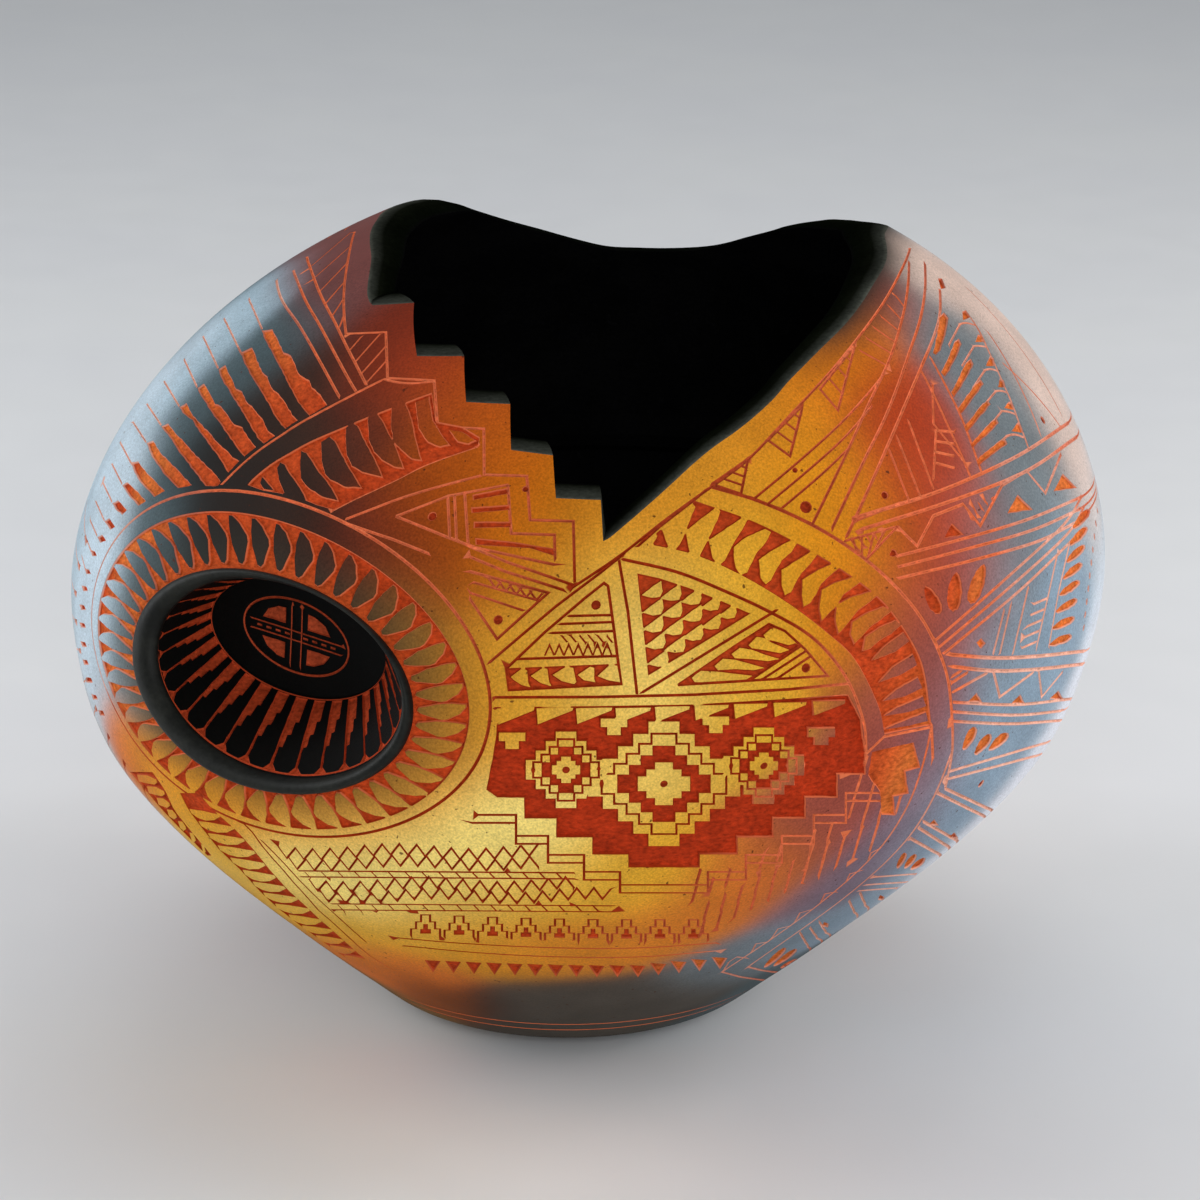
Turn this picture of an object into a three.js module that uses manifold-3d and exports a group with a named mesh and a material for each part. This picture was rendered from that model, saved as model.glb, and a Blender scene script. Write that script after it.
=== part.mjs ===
// Squat, hand-built ceramic pot with a large saddle-shaped mouth and an oval
// window let into its front-left wall.  Millimetres, +Z up, -Y is the front.
// Origin: middle of the plan circle, on the surface the pot stands on.
import * as THREE from 'three';
import Module from 'manifold-3d';

// ---------------------------------------------------------------- dimensions
const EQUATOR_Z = 109;          // height of the widest ring
const BODY_R = 125;             // radius of the widest ring
const SHOULDER_H = 97.2;        // virtual dome height above the widest ring
const SHOULDER_N = 1.9;         // superellipse exponent of the dome
const LEAN_1 = 0.0749;          // sideways lean of the body, linear part
const LEAN_2 = 0.000281;        // and quadratic part (per mm)
const WALL = 6;                 // wall thickness
const GAP = 0.3;                // clearance between neighbouring pieces
const SEAM_Z = EQUATOR_Z;       // upper and lower bowl meet here
const FOOT_TOP = 6.7;           // top of the foot slab
const SEGS = 56;                // facets round the body

// lower profile, [radius, height above the foot face]
const LOWER = [
  [32.82, 0], [35.83, 0.6], [40.66, 1.8], [46.34, 4], [50.44, 7], [56.32, 12],
  [62.33, 17], [69.26, 23], [75.98, 29], [83.74, 36], [91.25, 43], [98.28, 50],
  [104.75, 57], [111.33, 65], [116.56, 73], [120.38, 82], [122.73, 91],
  [124.35, 100], [125, 109],
];

// mouth edge on the outer surface, from the front notch clockwise in plan:
// five square steps up the front-left, the left peak, the low back,
// the right peak and the smooth front-right sweep back to the notch
const LIP = [
  [3.7, -111.8, 149.6], [3.2, -106.3, 157.3], [-6.6, -105.6, 157.5],
  [-7.3, -98.6, 165.2], [-16.5, -96.4, 165.8], [-16.8, -87.3, 173.7],
  [-26.6, -84.5, 173.4], [-27.3, -73.2, 180.9], [-38.0, -69.1, 179.8],
  [-39.3, -51.8, 187.7], [-48.9, -46.5, 185.8], [-50.0, -42.0, 186.7],
  [-50.2, -22.7, 191.4], [-50.8, 3.4, 193.0], [-49.5, 18.0, 192.4],
  [-46.0, 33.0, 191.0], [-41.5, 44.8, 189.4], [-36.1, 65.2, 182.6],
  [-27.7, 80.1, 176.3], [-17.6, 90.4, 171.0], [-7.4, 97.4, 166.4],
  [3.0, 101.4, 163.0], [13.0, 101.6, 162.4], [22.9, 100.2, 162.6],
  [32.9, 96.6, 163.9], [40.1, 92.2, 166.1], [47.3, 84.9, 169.9],
  [54.3, 75.9, 174.0], [58.7, 67.8, 177.4], [65.2, 53.5, 182.0],
  [69.4, 44.1, 183.8], [72.4, 33.0, 186.0], [73.2, 20.0, 188.6],
  [72.3, 8.0, 190.6], [70.9, -4.0, 191.4], [69.5, -23.4, 189.8],
  [66.5, -34.7, 188.5], [63.5, -44.5, 186.7], [59.0, -55.4, 184.1],
  [52.4, -67.1, 180.7], [45.6, -77.2, 176.7], [41.1, -83.6, 173.4],
  [34.3, -90.7, 169.4], [28.3, -95.5, 166.4], [24.1, -98.8, 163.9],
  [19.6, -102.4, 160.7], [12.6, -107.3, 155.6], [8.0, -110.0, 152.3],
  [5.2, -111.4, 150.3],
];
const LIP_APEX = [12, 58, 174];   // the mouth is cut towards this point
const LIP_TOP = [12, 10, 620];

// oval window, laid out in a frame that faces 36 degrees left of the front
const WIN_AZ = -36 * Math.PI / 180;
const WIN_N = [Math.sin(WIN_AZ), -Math.cos(WIN_AZ), 0];   // outward
const WIN_H = [Math.cos(WIN_AZ), Math.sin(WIN_AZ), 0];    // to the right
const RIM_OUT = { h: -1.3, z: 112.2, a: 41.0, b: 24.8 };  // outside of the rim
const MOUTH = { h: 1.2, z: 113.2, a: 34.6, b: 20.6 };     // inside of the rim
const FLOOR = { h: -10.0, z: 114.7, a: 25.3, b: 13.4 };   // floor of the recess
const FLOOR_N = 98;             // floor face, distance along WIN_N
const TUNNEL_WALL = 3.2;        // wall of the recess
const FLOOR_T = 5;              // thickness of the floor disc
const RIM_H = 3.0;              // height of the rolled rim over the wall
const OVAL = 40;                // facets round the window

// ------------------------------------------------------------------- helpers
const wasm = await Module();
wasm.setup();

const lean = (z) => LEAN_1 * (z - EQUATOR_Z) + LEAN_2 * (z - EQUATOR_Z) ** 2;

const upperPoint = (t) => {           // t = 0 at the widest ring, 1 at the top
  const a = t * Math.PI / 2;
  const e = 2 / SHOULDER_N;
  return [BODY_R * Math.cos(a) ** e, EQUATOR_Z + SHOULDER_H * Math.sin(a) ** e];
};

// cubic through the lower profile (monotone Hermite on height)
const lowerRadius = (z) => {
  let i = 0;
  while (i < LOWER.length - 2 && z > LOWER[i + 1][1]) i += 1;
  const slope = (k) => {
    const a = LOWER[Math.max(k - 1, 0)];
    const b = LOWER[Math.min(k + 1, LOWER.length - 1)];
    return k === LOWER.length - 1 ? 0 : (b[0] - a[0]) / (b[1] - a[1]);
  };
  const [r0, z0] = LOWER[i];
  const [r1, z1] = LOWER[i + 1];
  const d = z1 - z0;
  const t = (z - z0) / d;
  return r0 * (2 * t ** 3 - 3 * t ** 2 + 1) + slope(i) * d * (t ** 3 - 2 * t ** 2 + t)
    + r1 * (3 * t ** 2 - 2 * t ** 3) + slope(i + 1) * d * (t ** 3 - t ** 2);
};

const radiusAt = (z) => {
  if (z <= EQUATOR_Z) return lowerRadius(z);
  const t = Math.min((z - EQUATOR_Z) / SHOULDER_H, 1);
  return BODY_R * (1 - t ** SHOULDER_N) ** (1 / SHOULDER_N);
};

// inward offset of a profile polyline [[r, z], ...]
const offsetProfile = (pts, d) => pts.map(([r, z], i) => {
  const a = pts[Math.max(i - 1, 0)];
  const b = pts[Math.min(i + 1, pts.length - 1)];
  const tr = b[0] - a[0];
  const tz = b[1] - a[1];
  const l = Math.hypot(tr, tz);
  return [r - d * tz / l, z + d * tr / l];
});

const toGeometry = (pos, idx) => {
  const g = new THREE.BufferGeometry();
  g.setAttribute('position', new THREE.Float32BufferAttribute(pos, 3));
  g.setIndex(idx);
  return g;
};

// turn a closed section [[r, z], ...] about the leaning axis; section points
// with r = 0 become single points on the axis
const revolve = (section, segs = SEGS) => {
  const pos = [];
  const idx = [];
  const rows = section.map(([r, z]) => {
    const start = pos.length / 3;
    const n = r < 1e-6 ? 1 : segs;
    for (let k = 0; k < n; k += 1) {
      const a = (2 * Math.PI * k) / segs;
      pos.push(r * Math.cos(a) + lean(z), r * Math.sin(a), z);
    }
    return { start, n };
  });
  for (let i = 0; i < rows.length; i += 1) {
    const A = rows[i];
    const B = rows[(i + 1) % rows.length];
    if (A.n === 1 && B.n === 1) continue;
    for (let k = 0; k < segs; k += 1) {
      const a0 = A.start + (A.n === 1 ? 0 : k);
      const a1 = A.start + (A.n === 1 ? 0 : (k + 1) % segs);
      const b0 = B.start + (B.n === 1 ? 0 : k);
      const b1 = B.start + (B.n === 1 ? 0 : (k + 1) % segs);
      if (A.n > 1) idx.push(a0, a1, b0);
      if (B.n > 1) idx.push(a1, b1, b0);
    }
  }
  return toGeometry(pos, idx);
};

// join closed loops of equal length into a ring-shaped body (last to first)
const ringBody = (loops) => {
  const n = loops[0].length;
  const pos = loops.flat(2);
  const idx = [];
  for (let i = 0; i < loops.length; i += 1) {
    const a = i * n;
    const b = ((i + 1) % loops.length) * n;
    for (let k = 0; k < n; k += 1) {
      const k1 = (k + 1) % n;
      idx.push(a + k, a + k1, b + k, a + k1, b + k1, b + k);
    }
  }
  return toGeometry(pos, idx);
};

// stack closed loops and cap both ends with a fan to the loop's middle
const stackBody = (loops) => {
  const n = loops[0].length;
  const pos = loops.flat(2);
  const idx = [];
  for (let i = 0; i + 1 < loops.length; i += 1) {
    const a = i * n;
    const b = (i + 1) * n;
    for (let k = 0; k < n; k += 1) {
      const k1 = (k + 1) % n;
      idx.push(a + k, a + k1, b + k, a + k1, b + k1, b + k);
    }
  }
  const mid = (loop) => [0, 1, 2].map((c) => loop.reduce((s, p) => s + p[c], 0) / n);
  const c0 = pos.length / 3;
  pos.push(...mid(loops[0]), ...mid(loops[loops.length - 1]));
  const last = (loops.length - 1) * n;
  for (let k = 0; k < n; k += 1) {
    const k1 = (k + 1) % n;
    idx.push(c0, k1, k, c0 + 1, last + k, last + k1);
  }
  return toGeometry(pos, idx);
};

const signedVolume = (g) => {
  const p = g.attributes.position.array;
  const ix = g.index.array;
  let v = 0;
  for (let i = 0; i < ix.length; i += 3) {
    const [a, b, c] = [ix[i] * 3, ix[i + 1] * 3, ix[i + 2] * 3];
    v += p[a] * (p[b + 1] * p[c + 2] - p[b + 2] * p[c + 1])
      - p[a + 1] * (p[b] * p[c + 2] - p[b + 2] * p[c])
      + p[a + 2] * (p[b] * p[c + 1] - p[b + 1] * p[c]);
  }
  return v / 6;
};

const faceOut = (g) => {
  if (signedVolume(g) < 0) {
    const ix = g.index.array;
    for (let i = 0; i < ix.length; i += 3) [ix[i + 1], ix[i + 2]] = [ix[i + 2], ix[i + 1]];
  }
  return g;
};

const solid = (g) => {
  faceOut(g);
  return new wasm.Manifold(new wasm.Mesh({
    numProp: 3,
    vertProperties: new Float32Array(g.attributes.position.array),
    triVerts: new Uint32Array(g.index.array),
  }));
};

const fromSolid = (m) => {
  const mesh = m.getMesh();
  const pos = [];
  for (let i = 0; i < mesh.numVert; i += 1) {
    for (let c = 0; c < 3; c += 1) pos.push(mesh.vertProperties[i * mesh.numProp + c]);
  }
  return toGeometry(pos, Array.from(mesh.triVerts));
};

const group = new THREE.Group();
const add = (name, g, color, roughness) => {
  faceOut(g);
  g.computeVertexNormals();
  const m = new THREE.Mesh(g, new THREE.MeshStandardMaterial({ color, roughness, metalness: 0 }));
  m.name = name;
  group.add(m);
};

// ------------------------------------------------------------ window surfaces
// point of the outer surface at window coordinates (h, z), moved out by d
const onBody = (h, z, d = 0) => {
  const xc = lean(z);
  const dh = h - xc * WIN_H[0];
  const r = radiusAt(z);
  const n = xc * WIN_N[0] + Math.sqrt(Math.max(r * r - dh * dh, 0));
  const p = [h * WIN_H[0] + n * WIN_N[0], h * WIN_H[1] + n * WIN_N[1], z];
  if (d === 0) return p;
  const e = 0.5;
  const slope = (radiusAt(z + e) - radiusAt(z - e)) / (2 * e);
  const dl = (lean(z + e) - lean(z - e)) / (2 * e);
  const c = [(p[0] - xc) / r, p[1] / r];
  const nz = -slope - dl * c[0];
  const l = Math.hypot(1, nz);
  return [p[0] + d * c[0] / l, p[1] + d * c[1] / l, z + d * nz / l];
};
const oval = (o, grow, k) => {
  const a = (2 * Math.PI * k) / OVAL;
  return [o.h + (o.a + grow) * Math.cos(a), o.z + (o.b + grow) * Math.sin(a)];
};
const loop = (fn) => Array.from({ length: OVAL }, (_, k) => fn(k));
const surfaceLoop = (o, grow, d) => loop((k) => onBody(...oval(o, grow, k), d));
const flatLoop = (o, grow, n) => loop((k) => {
  const [h, z] = oval(o, grow, k);
  return [h * WIN_H[0] + n * WIN_N[0], h * WIN_H[1] + n * WIN_N[1], z];
});
const along = (A, B, t) => A.map((p, k) => p.map((v, c) => v + (B[k][c] - v) * t));

// solid plug of the recess, its outside grown by g, reaching past the wall
const windowPlug = (g) => {
  const out = surfaceLoop(MOUTH, TUNNEL_WALL + g, 0);
  const inn = flatLoop(FLOOR, TUNNEL_WALL + g, FLOOR_N);
  return solid(stackBody([along(out, inn, -0.8), out, inn, along(inn, out, -0.05)]));
};

// ---------------------------------------------------------------- body shells
const clay = 0xb5562a;
const black = 0x15130f;

const mouthCutter = (() => {
  const pos = [...LIP_APEX, ...LIP_TOP];
  LIP.forEach((p) => p.forEach((v, c) => pos.push(LIP_APEX[c] + 1.5 * (v - LIP_APEX[c]))));
  const idx = [];
  for (let k = 0; k < LIP.length; k += 1) {
    const a = 2 + k;
    const b = 2 + ((k + 1) % LIP.length);
    idx.push(0, a, b, 1, b, a);
  }
  return solid(toGeometry(pos, idx));
})();

const footZ = FOOT_TOP + GAP;
const lowerOuter = [[lowerRadius(footZ), footZ],
  ...LOWER.filter(([, z]) => z > footZ + 3 && z < SEAM_Z - 4),
  [radiusAt(SEAM_Z - GAP / 2), SEAM_Z - GAP / 2]];
const lowerInner = offsetProfile(lowerOuter, WALL);
lowerInner[lowerInner.length - 1] = [BODY_R - WALL, SEAM_Z - GAP / 2];
const lowerSection = [...lowerOuter,
  ...lowerInner.slice(1).reverse(), [lowerRadius(footZ) - 9, footZ]];

const upperOuter = [0, 0.1, 0.2, 0.31, 0.42, 0.53, 0.64, 0.75, 0.87, 1].map(upperPoint);
upperOuter[upperOuter.length - 1][0] = 0;
const upperInner = offsetProfile(upperOuter, WALL);
upperOuter[0] = [BODY_R, SEAM_Z + GAP / 2];
upperInner[0] = [BODY_R - WALL, SEAM_Z + GAP / 2];
upperInner[upperInner.length - 1] = [0, EQUATOR_Z + SHOULDER_H - WALL];
const upperSection = [...upperOuter, ...upperInner.slice().reverse()];

const hole = windowPlug(0.35);
const lowerBowl = solid(revolve(lowerSection)).subtract(hole);
const upperBowl = solid(revolve(upperSection)).subtract(mouthCutter).subtract(hole);
add('lower_bowl', fromSolid(lowerBowl), clay, 0.55);
add('upper_bowl', fromSolid(upperBowl), clay, 0.55);

// foot: a flat slab with a rounded edge that closes the bottom
add('foot_slab', revolve([[0, 0], ...LOWER.filter(([, z]) => z < FOOT_TOP - 1.5),
  [lowerRadius(FOOT_TOP), FOOT_TOP], [0, FOOT_TOP]]), 0x2c342f, 0.6);

// ------------------------------------------------------------- window pieces
const sections = [[0, GAP], [0.1, 1.7], [0.34, RIM_H], [0.66, RIM_H], [0.9, 1.7], [1, GAP]];
add('window_rim', ringBody(sections.map(([t, d]) => loop((k) => {
  const a = oval(RIM_OUT, 0, k);
  const b = oval(MOUTH, 0, k);
  return onBody(a[0] + (b[0] - a[0]) * t, a[1] + (b[1] - a[1]) * t, d);
}))), 0x23261f, 0.4);

const floorIn = flatLoop(FLOOR, 0, FLOOR_N);
const floorOut = flatLoop(FLOOR, TUNNEL_WALL, FLOOR_N);
const mouthIn = surfaceLoop(MOUTH, 0, 0);
const mouthOut = surfaceLoop(MOUTH, TUNNEL_WALL, 0);
add('window_tunnel', ringBody([mouthIn, along(mouthIn, floorIn, 0.5), floorIn,
  floorOut, along(mouthOut, floorOut, 0.5), mouthOut]), 0x4a2618, 0.6);

add('window_floor', stackBody([flatLoop(FLOOR, TUNNEL_WALL, FLOOR_N - GAP),
  flatLoop(FLOOR, TUNNEL_WALL, FLOOR_N - GAP - FLOOR_T)]), black, 0.5);

// --------------------------------------- luting coils pressed into the joints
const footR = lowerRadius(footZ);
add('foot_luting_coil', revolve([[footR - 15, footZ], [footR - 9.5, footZ],
  [footR - 6.1, footZ + 2.6], [footR - 7.6, footZ + 4.2], [footR - 12, footZ + 1.9]]), black, 0.8);

const equatorCoil = revolve([[118.3, SEAM_Z - 5], [118.5, SEAM_Z], [118.3, SEAM_Z + 5],
  [116.6, SEAM_Z + 3.4], [115.9, SEAM_Z], [116.6, SEAM_Z - 3.4]]);
add('equator_luting_coil', fromSolid(solid(equatorCoil).subtract(windowPlug(6.5))), black, 0.8);

const tubeRing = (centres, out, up, r, sides = 6) => Array.from({ length: sides }, (_, j) => {
  const a = (2 * Math.PI * j) / sides;
  return centres.map((p, k) => p.map((v, c) => v + r * (Math.cos(a) * out[k][c] + Math.sin(a) * up[c])));
});
const radialOut = loop((k) => {
  const a = (2 * Math.PI * k) / OVAL;
  const u = [Math.cos(a) / FLOOR.a, Math.sin(a) / FLOOR.b];
  const l = Math.hypot(...u);
  return [WIN_H[0] * u[0] / l, WIN_H[1] * u[0] / l, u[1] / l];
});

const floorCoilCentre = flatLoop(FLOOR, TUNNEL_WALL, FLOOR_N - 2.6)
  .map((p, k) => p.map((v, c) => v + radialOut[k][c] * 2.1));
add('floor_luting_coil', ringBody(tubeRing(floorCoilCentre, radialOut, WIN_N, 1.7)), black, 0.8);

const depthOf = (p) => radiusAt(p[2]) - Math.hypot(p[0] - lean(p[2]), p[1]);
const wallCoilCentre = loop((k) => {
  let p = mouthOut[k];
  for (let t = 0; t <= 1; t += 0.01) {
    p = mouthOut[k].map((v, c) => v + (floorOut[k][c] - v) * t);
    if (depthOf(p) > WALL + 2.4) break;
  }
  return p.map((v, c) => v + radialOut[k][c] * 2.2);
});
const outerFull = [...LOWER.filter(([, z]) => z > 20 && z < 108), ...[0, 0.1, 0.2, 0.31, 0.42, 0.53, 0.64].map(upperPoint)];
const innerFull = offsetProfile(outerFull, WALL + 0.35);
const wallZone = solid(revolve([...outerFull, ...innerFull.slice().reverse()]));
const wallCoil = solid(ringBody(tubeRing(wallCoilCentre, radialOut, WIN_N, 2.0)))
  .subtract(wallZone).subtract(windowPlug(0.35));
add('window_luting_coil', fromSolid(wallCoil), black, 0.8);

export default group;
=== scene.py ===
"""Looks of the squat carved pot: sprayed slip colours over terracotta, cut through in
bands, feathers, steps and triangles.  Lengths are worked in millimetres and made metres
when a mesh is written."""
import bpy
import math
import time
import numpy as np
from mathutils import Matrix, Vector
from mathutils.geometry import delaunay_2d_cdt


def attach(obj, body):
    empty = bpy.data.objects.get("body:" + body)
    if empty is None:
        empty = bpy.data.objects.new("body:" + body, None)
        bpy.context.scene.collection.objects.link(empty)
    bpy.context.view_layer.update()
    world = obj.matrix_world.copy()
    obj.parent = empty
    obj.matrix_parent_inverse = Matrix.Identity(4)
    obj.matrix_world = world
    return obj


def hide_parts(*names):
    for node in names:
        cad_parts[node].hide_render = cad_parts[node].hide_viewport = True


T_START = time.time()
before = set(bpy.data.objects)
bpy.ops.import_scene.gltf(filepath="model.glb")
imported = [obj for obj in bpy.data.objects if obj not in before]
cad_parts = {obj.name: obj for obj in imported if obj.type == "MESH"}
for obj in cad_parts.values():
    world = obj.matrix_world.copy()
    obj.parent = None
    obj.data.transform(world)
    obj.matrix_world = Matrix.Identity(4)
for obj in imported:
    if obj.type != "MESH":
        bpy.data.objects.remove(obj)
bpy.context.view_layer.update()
PI = math.pi


# =====================================================================  body form
EQ_Z, BODY_R, SH_H, SH_N = 109.0, 125.0, 97.2, 1.9
LEAN_1, LEAN_2 = 0.0749, 0.000281
WALL = 6.0
FOOT_TOP = 6.7
LOWER = np.array([
    [32.82, 0], [35.83, 0.6], [40.66, 1.8], [46.34, 4], [50.44, 7], [56.32, 12],
    [62.33, 17], [69.26, 23], [75.98, 29], [83.74, 36], [91.25, 43], [98.28, 50],
    [104.75, 57], [111.33, 65], [116.56, 73], [120.38, 82], [122.73, 91],
    [124.35, 100], [125, 109]], float)
LIP = np.array([
    [3.7, -111.8, 149.6], [3.2, -106.3, 157.3], [-6.6, -105.6, 157.5],
    [-7.3, -98.6, 165.2], [-16.5, -96.4, 165.8], [-16.8, -87.3, 173.7],
    [-26.6, -84.5, 173.4], [-27.3, -73.2, 180.9], [-38.0, -69.1, 179.8],
    [-39.3, -51.8, 187.7], [-48.9, -46.5, 185.8], [-50.0, -42.0, 186.7],
    [-50.2, -22.7, 191.4], [-50.8, 3.4, 193.0], [-49.5, 18.0, 192.4],
    [-46.0, 33.0, 191.0], [-41.5, 44.8, 189.4], [-36.1, 65.2, 182.6],
    [-27.7, 80.1, 176.3], [-17.6, 90.4, 171.0], [-7.4, 97.4, 166.4],
    [3.0, 101.4, 163.0], [13.0, 101.6, 162.4], [22.9, 100.2, 162.6],
    [32.9, 96.6, 163.9], [40.1, 92.2, 166.1], [47.3, 84.9, 169.9],
    [54.3, 75.9, 174.0], [58.7, 67.8, 177.4], [65.2, 53.5, 182.0],
    [69.4, 44.1, 183.8], [72.4, 33.0, 186.0], [73.2, 20.0, 188.6],
    [72.3, 8.0, 190.6], [70.9, -4.0, 191.4], [69.5, -23.4, 189.8],
    [66.5, -34.7, 188.5], [63.5, -44.5, 186.7], [59.0, -55.4, 184.1],
    [52.4, -67.1, 180.7], [45.6, -77.2, 176.7], [41.1, -83.6, 173.4],
    [34.3, -90.7, 169.4], [28.3, -95.5, 166.4], [24.1, -98.8, 163.9],
    [19.6, -102.4, 160.7], [12.6, -107.3, 155.6], [8.0, -110.0, 152.3],
    [5.2, -111.4, 150.3]], float)
LIP_STEPS = 11            # the first points are the square steps
LIP_APEX = np.array([12.0, 58.0, 174.0])

WIN_AZ = math.radians(-36)
WN = np.array([math.sin(WIN_AZ), -math.cos(WIN_AZ), 0.0])
WH = np.array([math.cos(WIN_AZ), math.sin(WIN_AZ), 0.0])
RIM_OUT = (-1.4, 112.2, 40.6, 24.5)
MOUTH = (1.1, 113.4, 35.6, 21.9)
FLOOR = (-10.0, 114.7, 25.3, 13.4)
FLOOR_N = 98.0
TUNNEL_WALL, FLOOR_T, RIM_H = 3.2, 5.0, 3.0


def hermite_table():
    r, z = LOWER[:, 0], LOWER[:, 1]
    m = np.zeros(len(r))
    m[1:-1] = (r[2:] - r[:-2]) / (z[2:] - z[:-2])
    m[0] = (r[1] - r[0]) / (z[1] - z[0])
    m[-1] = 0.0
    zs = np.linspace(0, EQ_Z, 1101)
    k = np.clip(np.searchsorted(z, zs, side="right") - 1, 0, len(z) - 2)
    h = z[k + 1] - z[k]
    t = (zs - z[k]) / h
    rs = ((2 * t**3 - 3 * t**2 + 1) * r[k] + (t**3 - 2 * t**2 + t) * h * m[k]
          + (-2 * t**3 + 3 * t**2) * r[k + 1] + (t**3 - t**2) * h * m[k + 1])
    zu = np.linspace(EQ_Z, EQ_Z + 92.0, 1841)[1:]
    ru = BODY_R * np.maximum(0.0, 1 - ((zu - EQ_Z) / SH_H) ** SH_N) ** (1 / SH_N)
    return np.concatenate([zs, zu]), np.concatenate([rs, ru])


PZ, PR = hermite_table()
PS = np.concatenate([[0], np.cumsum(np.hypot(np.diff(PZ), np.diff(PR)))])
DRDZ = np.gradient(PR, PZ)
# inner profile: the outer one moved in by the wall thickness
_nl = np.sqrt(1 + DRDZ**2)
IR, IZ = PR - WALL / _nl, PZ + WALL * DRDZ / _nl
_keep = np.concatenate([[True], np.diff(np.maximum.accumulate(IZ)) > 1e-6])
IZ_, IR_ = IZ[_keep], IR[_keep]
IS_ = np.concatenate([[0], np.cumsum(np.hypot(np.diff(IZ_), np.diff(IR_)))])


def Rz(z):
    return np.interp(z, PZ, PR)


def lean(z):
    d = np.asarray(z, float) - EQ_Z
    return LEAN_1 * d + LEAN_2 * d * d


def z_of_s(s):
    return np.interp(s, PS, PZ)


def s_of_z(z):
    return np.interp(z, PZ, PS)


def body_point(U, V):
    th = np.asarray(U, float) / BODY_R
    z = z_of_s(V)
    r = Rz(z)
    return np.stack([lean(z) + r * np.sin(th), -r * np.cos(th), z], -1)


def body_normal(U, V):
    e = 0.05
    du = body_point(np.asarray(U) + e, V) - body_point(np.asarray(U) - e, V)
    dv = body_point(U, np.asarray(V) + e) - body_point(U, np.asarray(V) - e)
    n = np.cross(du, dv)
    return n / np.linalg.norm(n, axis=-1, keepdims=True)


def body_scale(U, V):
    return Rz(z_of_s(V)) / BODY_R


def chart_of(p):
    """chart place (U, V) of points near the outer surface"""
    p = np.asarray(p, float)
    z = p[..., 2]
    th = np.arctan2(p[..., 0] - lean(z), -p[..., 1])
    return np.stack([BODY_R * th, s_of_z(z)], -1)


S_EQ = float(s_of_z(EQ_Z))
S_FOOT = float(s_of_z(FOOT_TOP))
U_MAX = PI * BODY_R


def win_to_chart(hz):
    """window frame (h, z) on the outer surface to the chart"""
    hz = np.asarray(hz, float)
    h, z = hz[..., 0], hz[..., 1]
    xc = lean(z)
    n = xc * WN[0] + np.sqrt(np.maximum(1.0, Rz(z) ** 2 - (h - xc * WH[0]) ** 2))
    x = n * WN[0] + h * WH[0]
    y = n * WN[1] + h * WH[1]
    th = np.arctan2(x - xc, -y)
    return np.stack([BODY_R * th, s_of_z(z)], -1)


# =====================================================================  camera
ELEV = math.radians(18)
CAM = np.array([3.025, -1048.855, 440.630])
FPX = 4515.72
_back = np.array([0, -math.cos(ELEV), math.sin(ELEV)])
_right = np.array([1.0, 0, 0])
_up = np.array([0, math.sin(ELEV), math.cos(ELEV)])


def body_gap(p):
    z = np.clip(p[..., 2], 0, 200.9)
    return np.hypot(p[..., 0] - lean(z), p[..., 1]) - Rz(z)


def seen(pts):
    """chart places of points given where they are seen from the front, in a 1200 square frame"""
    pts = np.asarray(pts, float)
    d = (-_back[None] * FPX + _right[None] * (pts[:, :1] - 600) - _up[None] * (pts[:, 1:2] - 600))
    d /= np.linalg.norm(d, axis=1, keepdims=True)
    ts = np.linspace(900, 1260, 361)
    g = body_gap(CAM + d[:, None, :] * ts[None, :, None])
    hit = (g[:, 1:] <= 0) & (g[:, :-1] > 0)
    first = np.where(hit.any(1), hit.argmax(1), np.clip(g.argmin(1) - 1, 0, 359))
    lo, hi = ts[first], ts[first + 1]
    for _ in range(22):
        m = (lo + hi) / 2
        inside = body_gap(CAM + d * m[:, None]) <= 0
        hi = np.where(inside, m, hi)
        lo = np.where(inside, lo, m)
    miss = ~hit.any(1)
    t = np.where(miss, ts[np.clip(g.argmin(1), 0, 360)], hi)
    return chart_of(CAM + d * t[:, None])


# =====================================================================  drawing helpers
def value_noise(x, y, seed=0):
    """smooth fixed noise in -0.5..0.5 on a unit lattice"""
    xi, yi = np.floor(x).astype(np.int64), np.floor(y).astype(np.int64)
    fx, fy = x - xi, y - yi
    fx, fy = fx * fx * (3 - 2 * fx), fy * fy * (3 - 2 * fy)

    def h(a, b):
        v = np.sin(a * 127.1 + b * 311.7 + seed * 74.7) * 43758.5453
        return v - np.floor(v)

    return ((h(xi, yi) * (1 - fx) + h(xi + 1, yi) * fx) * (1 - fy) + (h(xi, yi + 1) * (1 - fx) + h(xi + 1, yi + 1) * fx) * fy) - 0.5


def rnd(i):
    """a fixed number in 0..1 for each whole number"""
    v = math.sin(i * 12.9898 + 78.233) * 43758.5453
    return v - math.floor(v)


def fine(pts, step, closed=False):
    """puts points on the straight edges, no more than step apart"""
    pts = np.asarray(pts, float)
    if closed:
        pts = np.vstack([pts, pts[:1]])
    out = []
    for a, b in zip(pts[:-1], pts[1:]):
        n = max(1, int(math.ceil(np.linalg.norm(b - a) / step)))
        out.extend(a + (b - a) * (k / n) for k in range(n))
    if not closed:
        out.append(pts[-1])
    return np.array(out)


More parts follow.
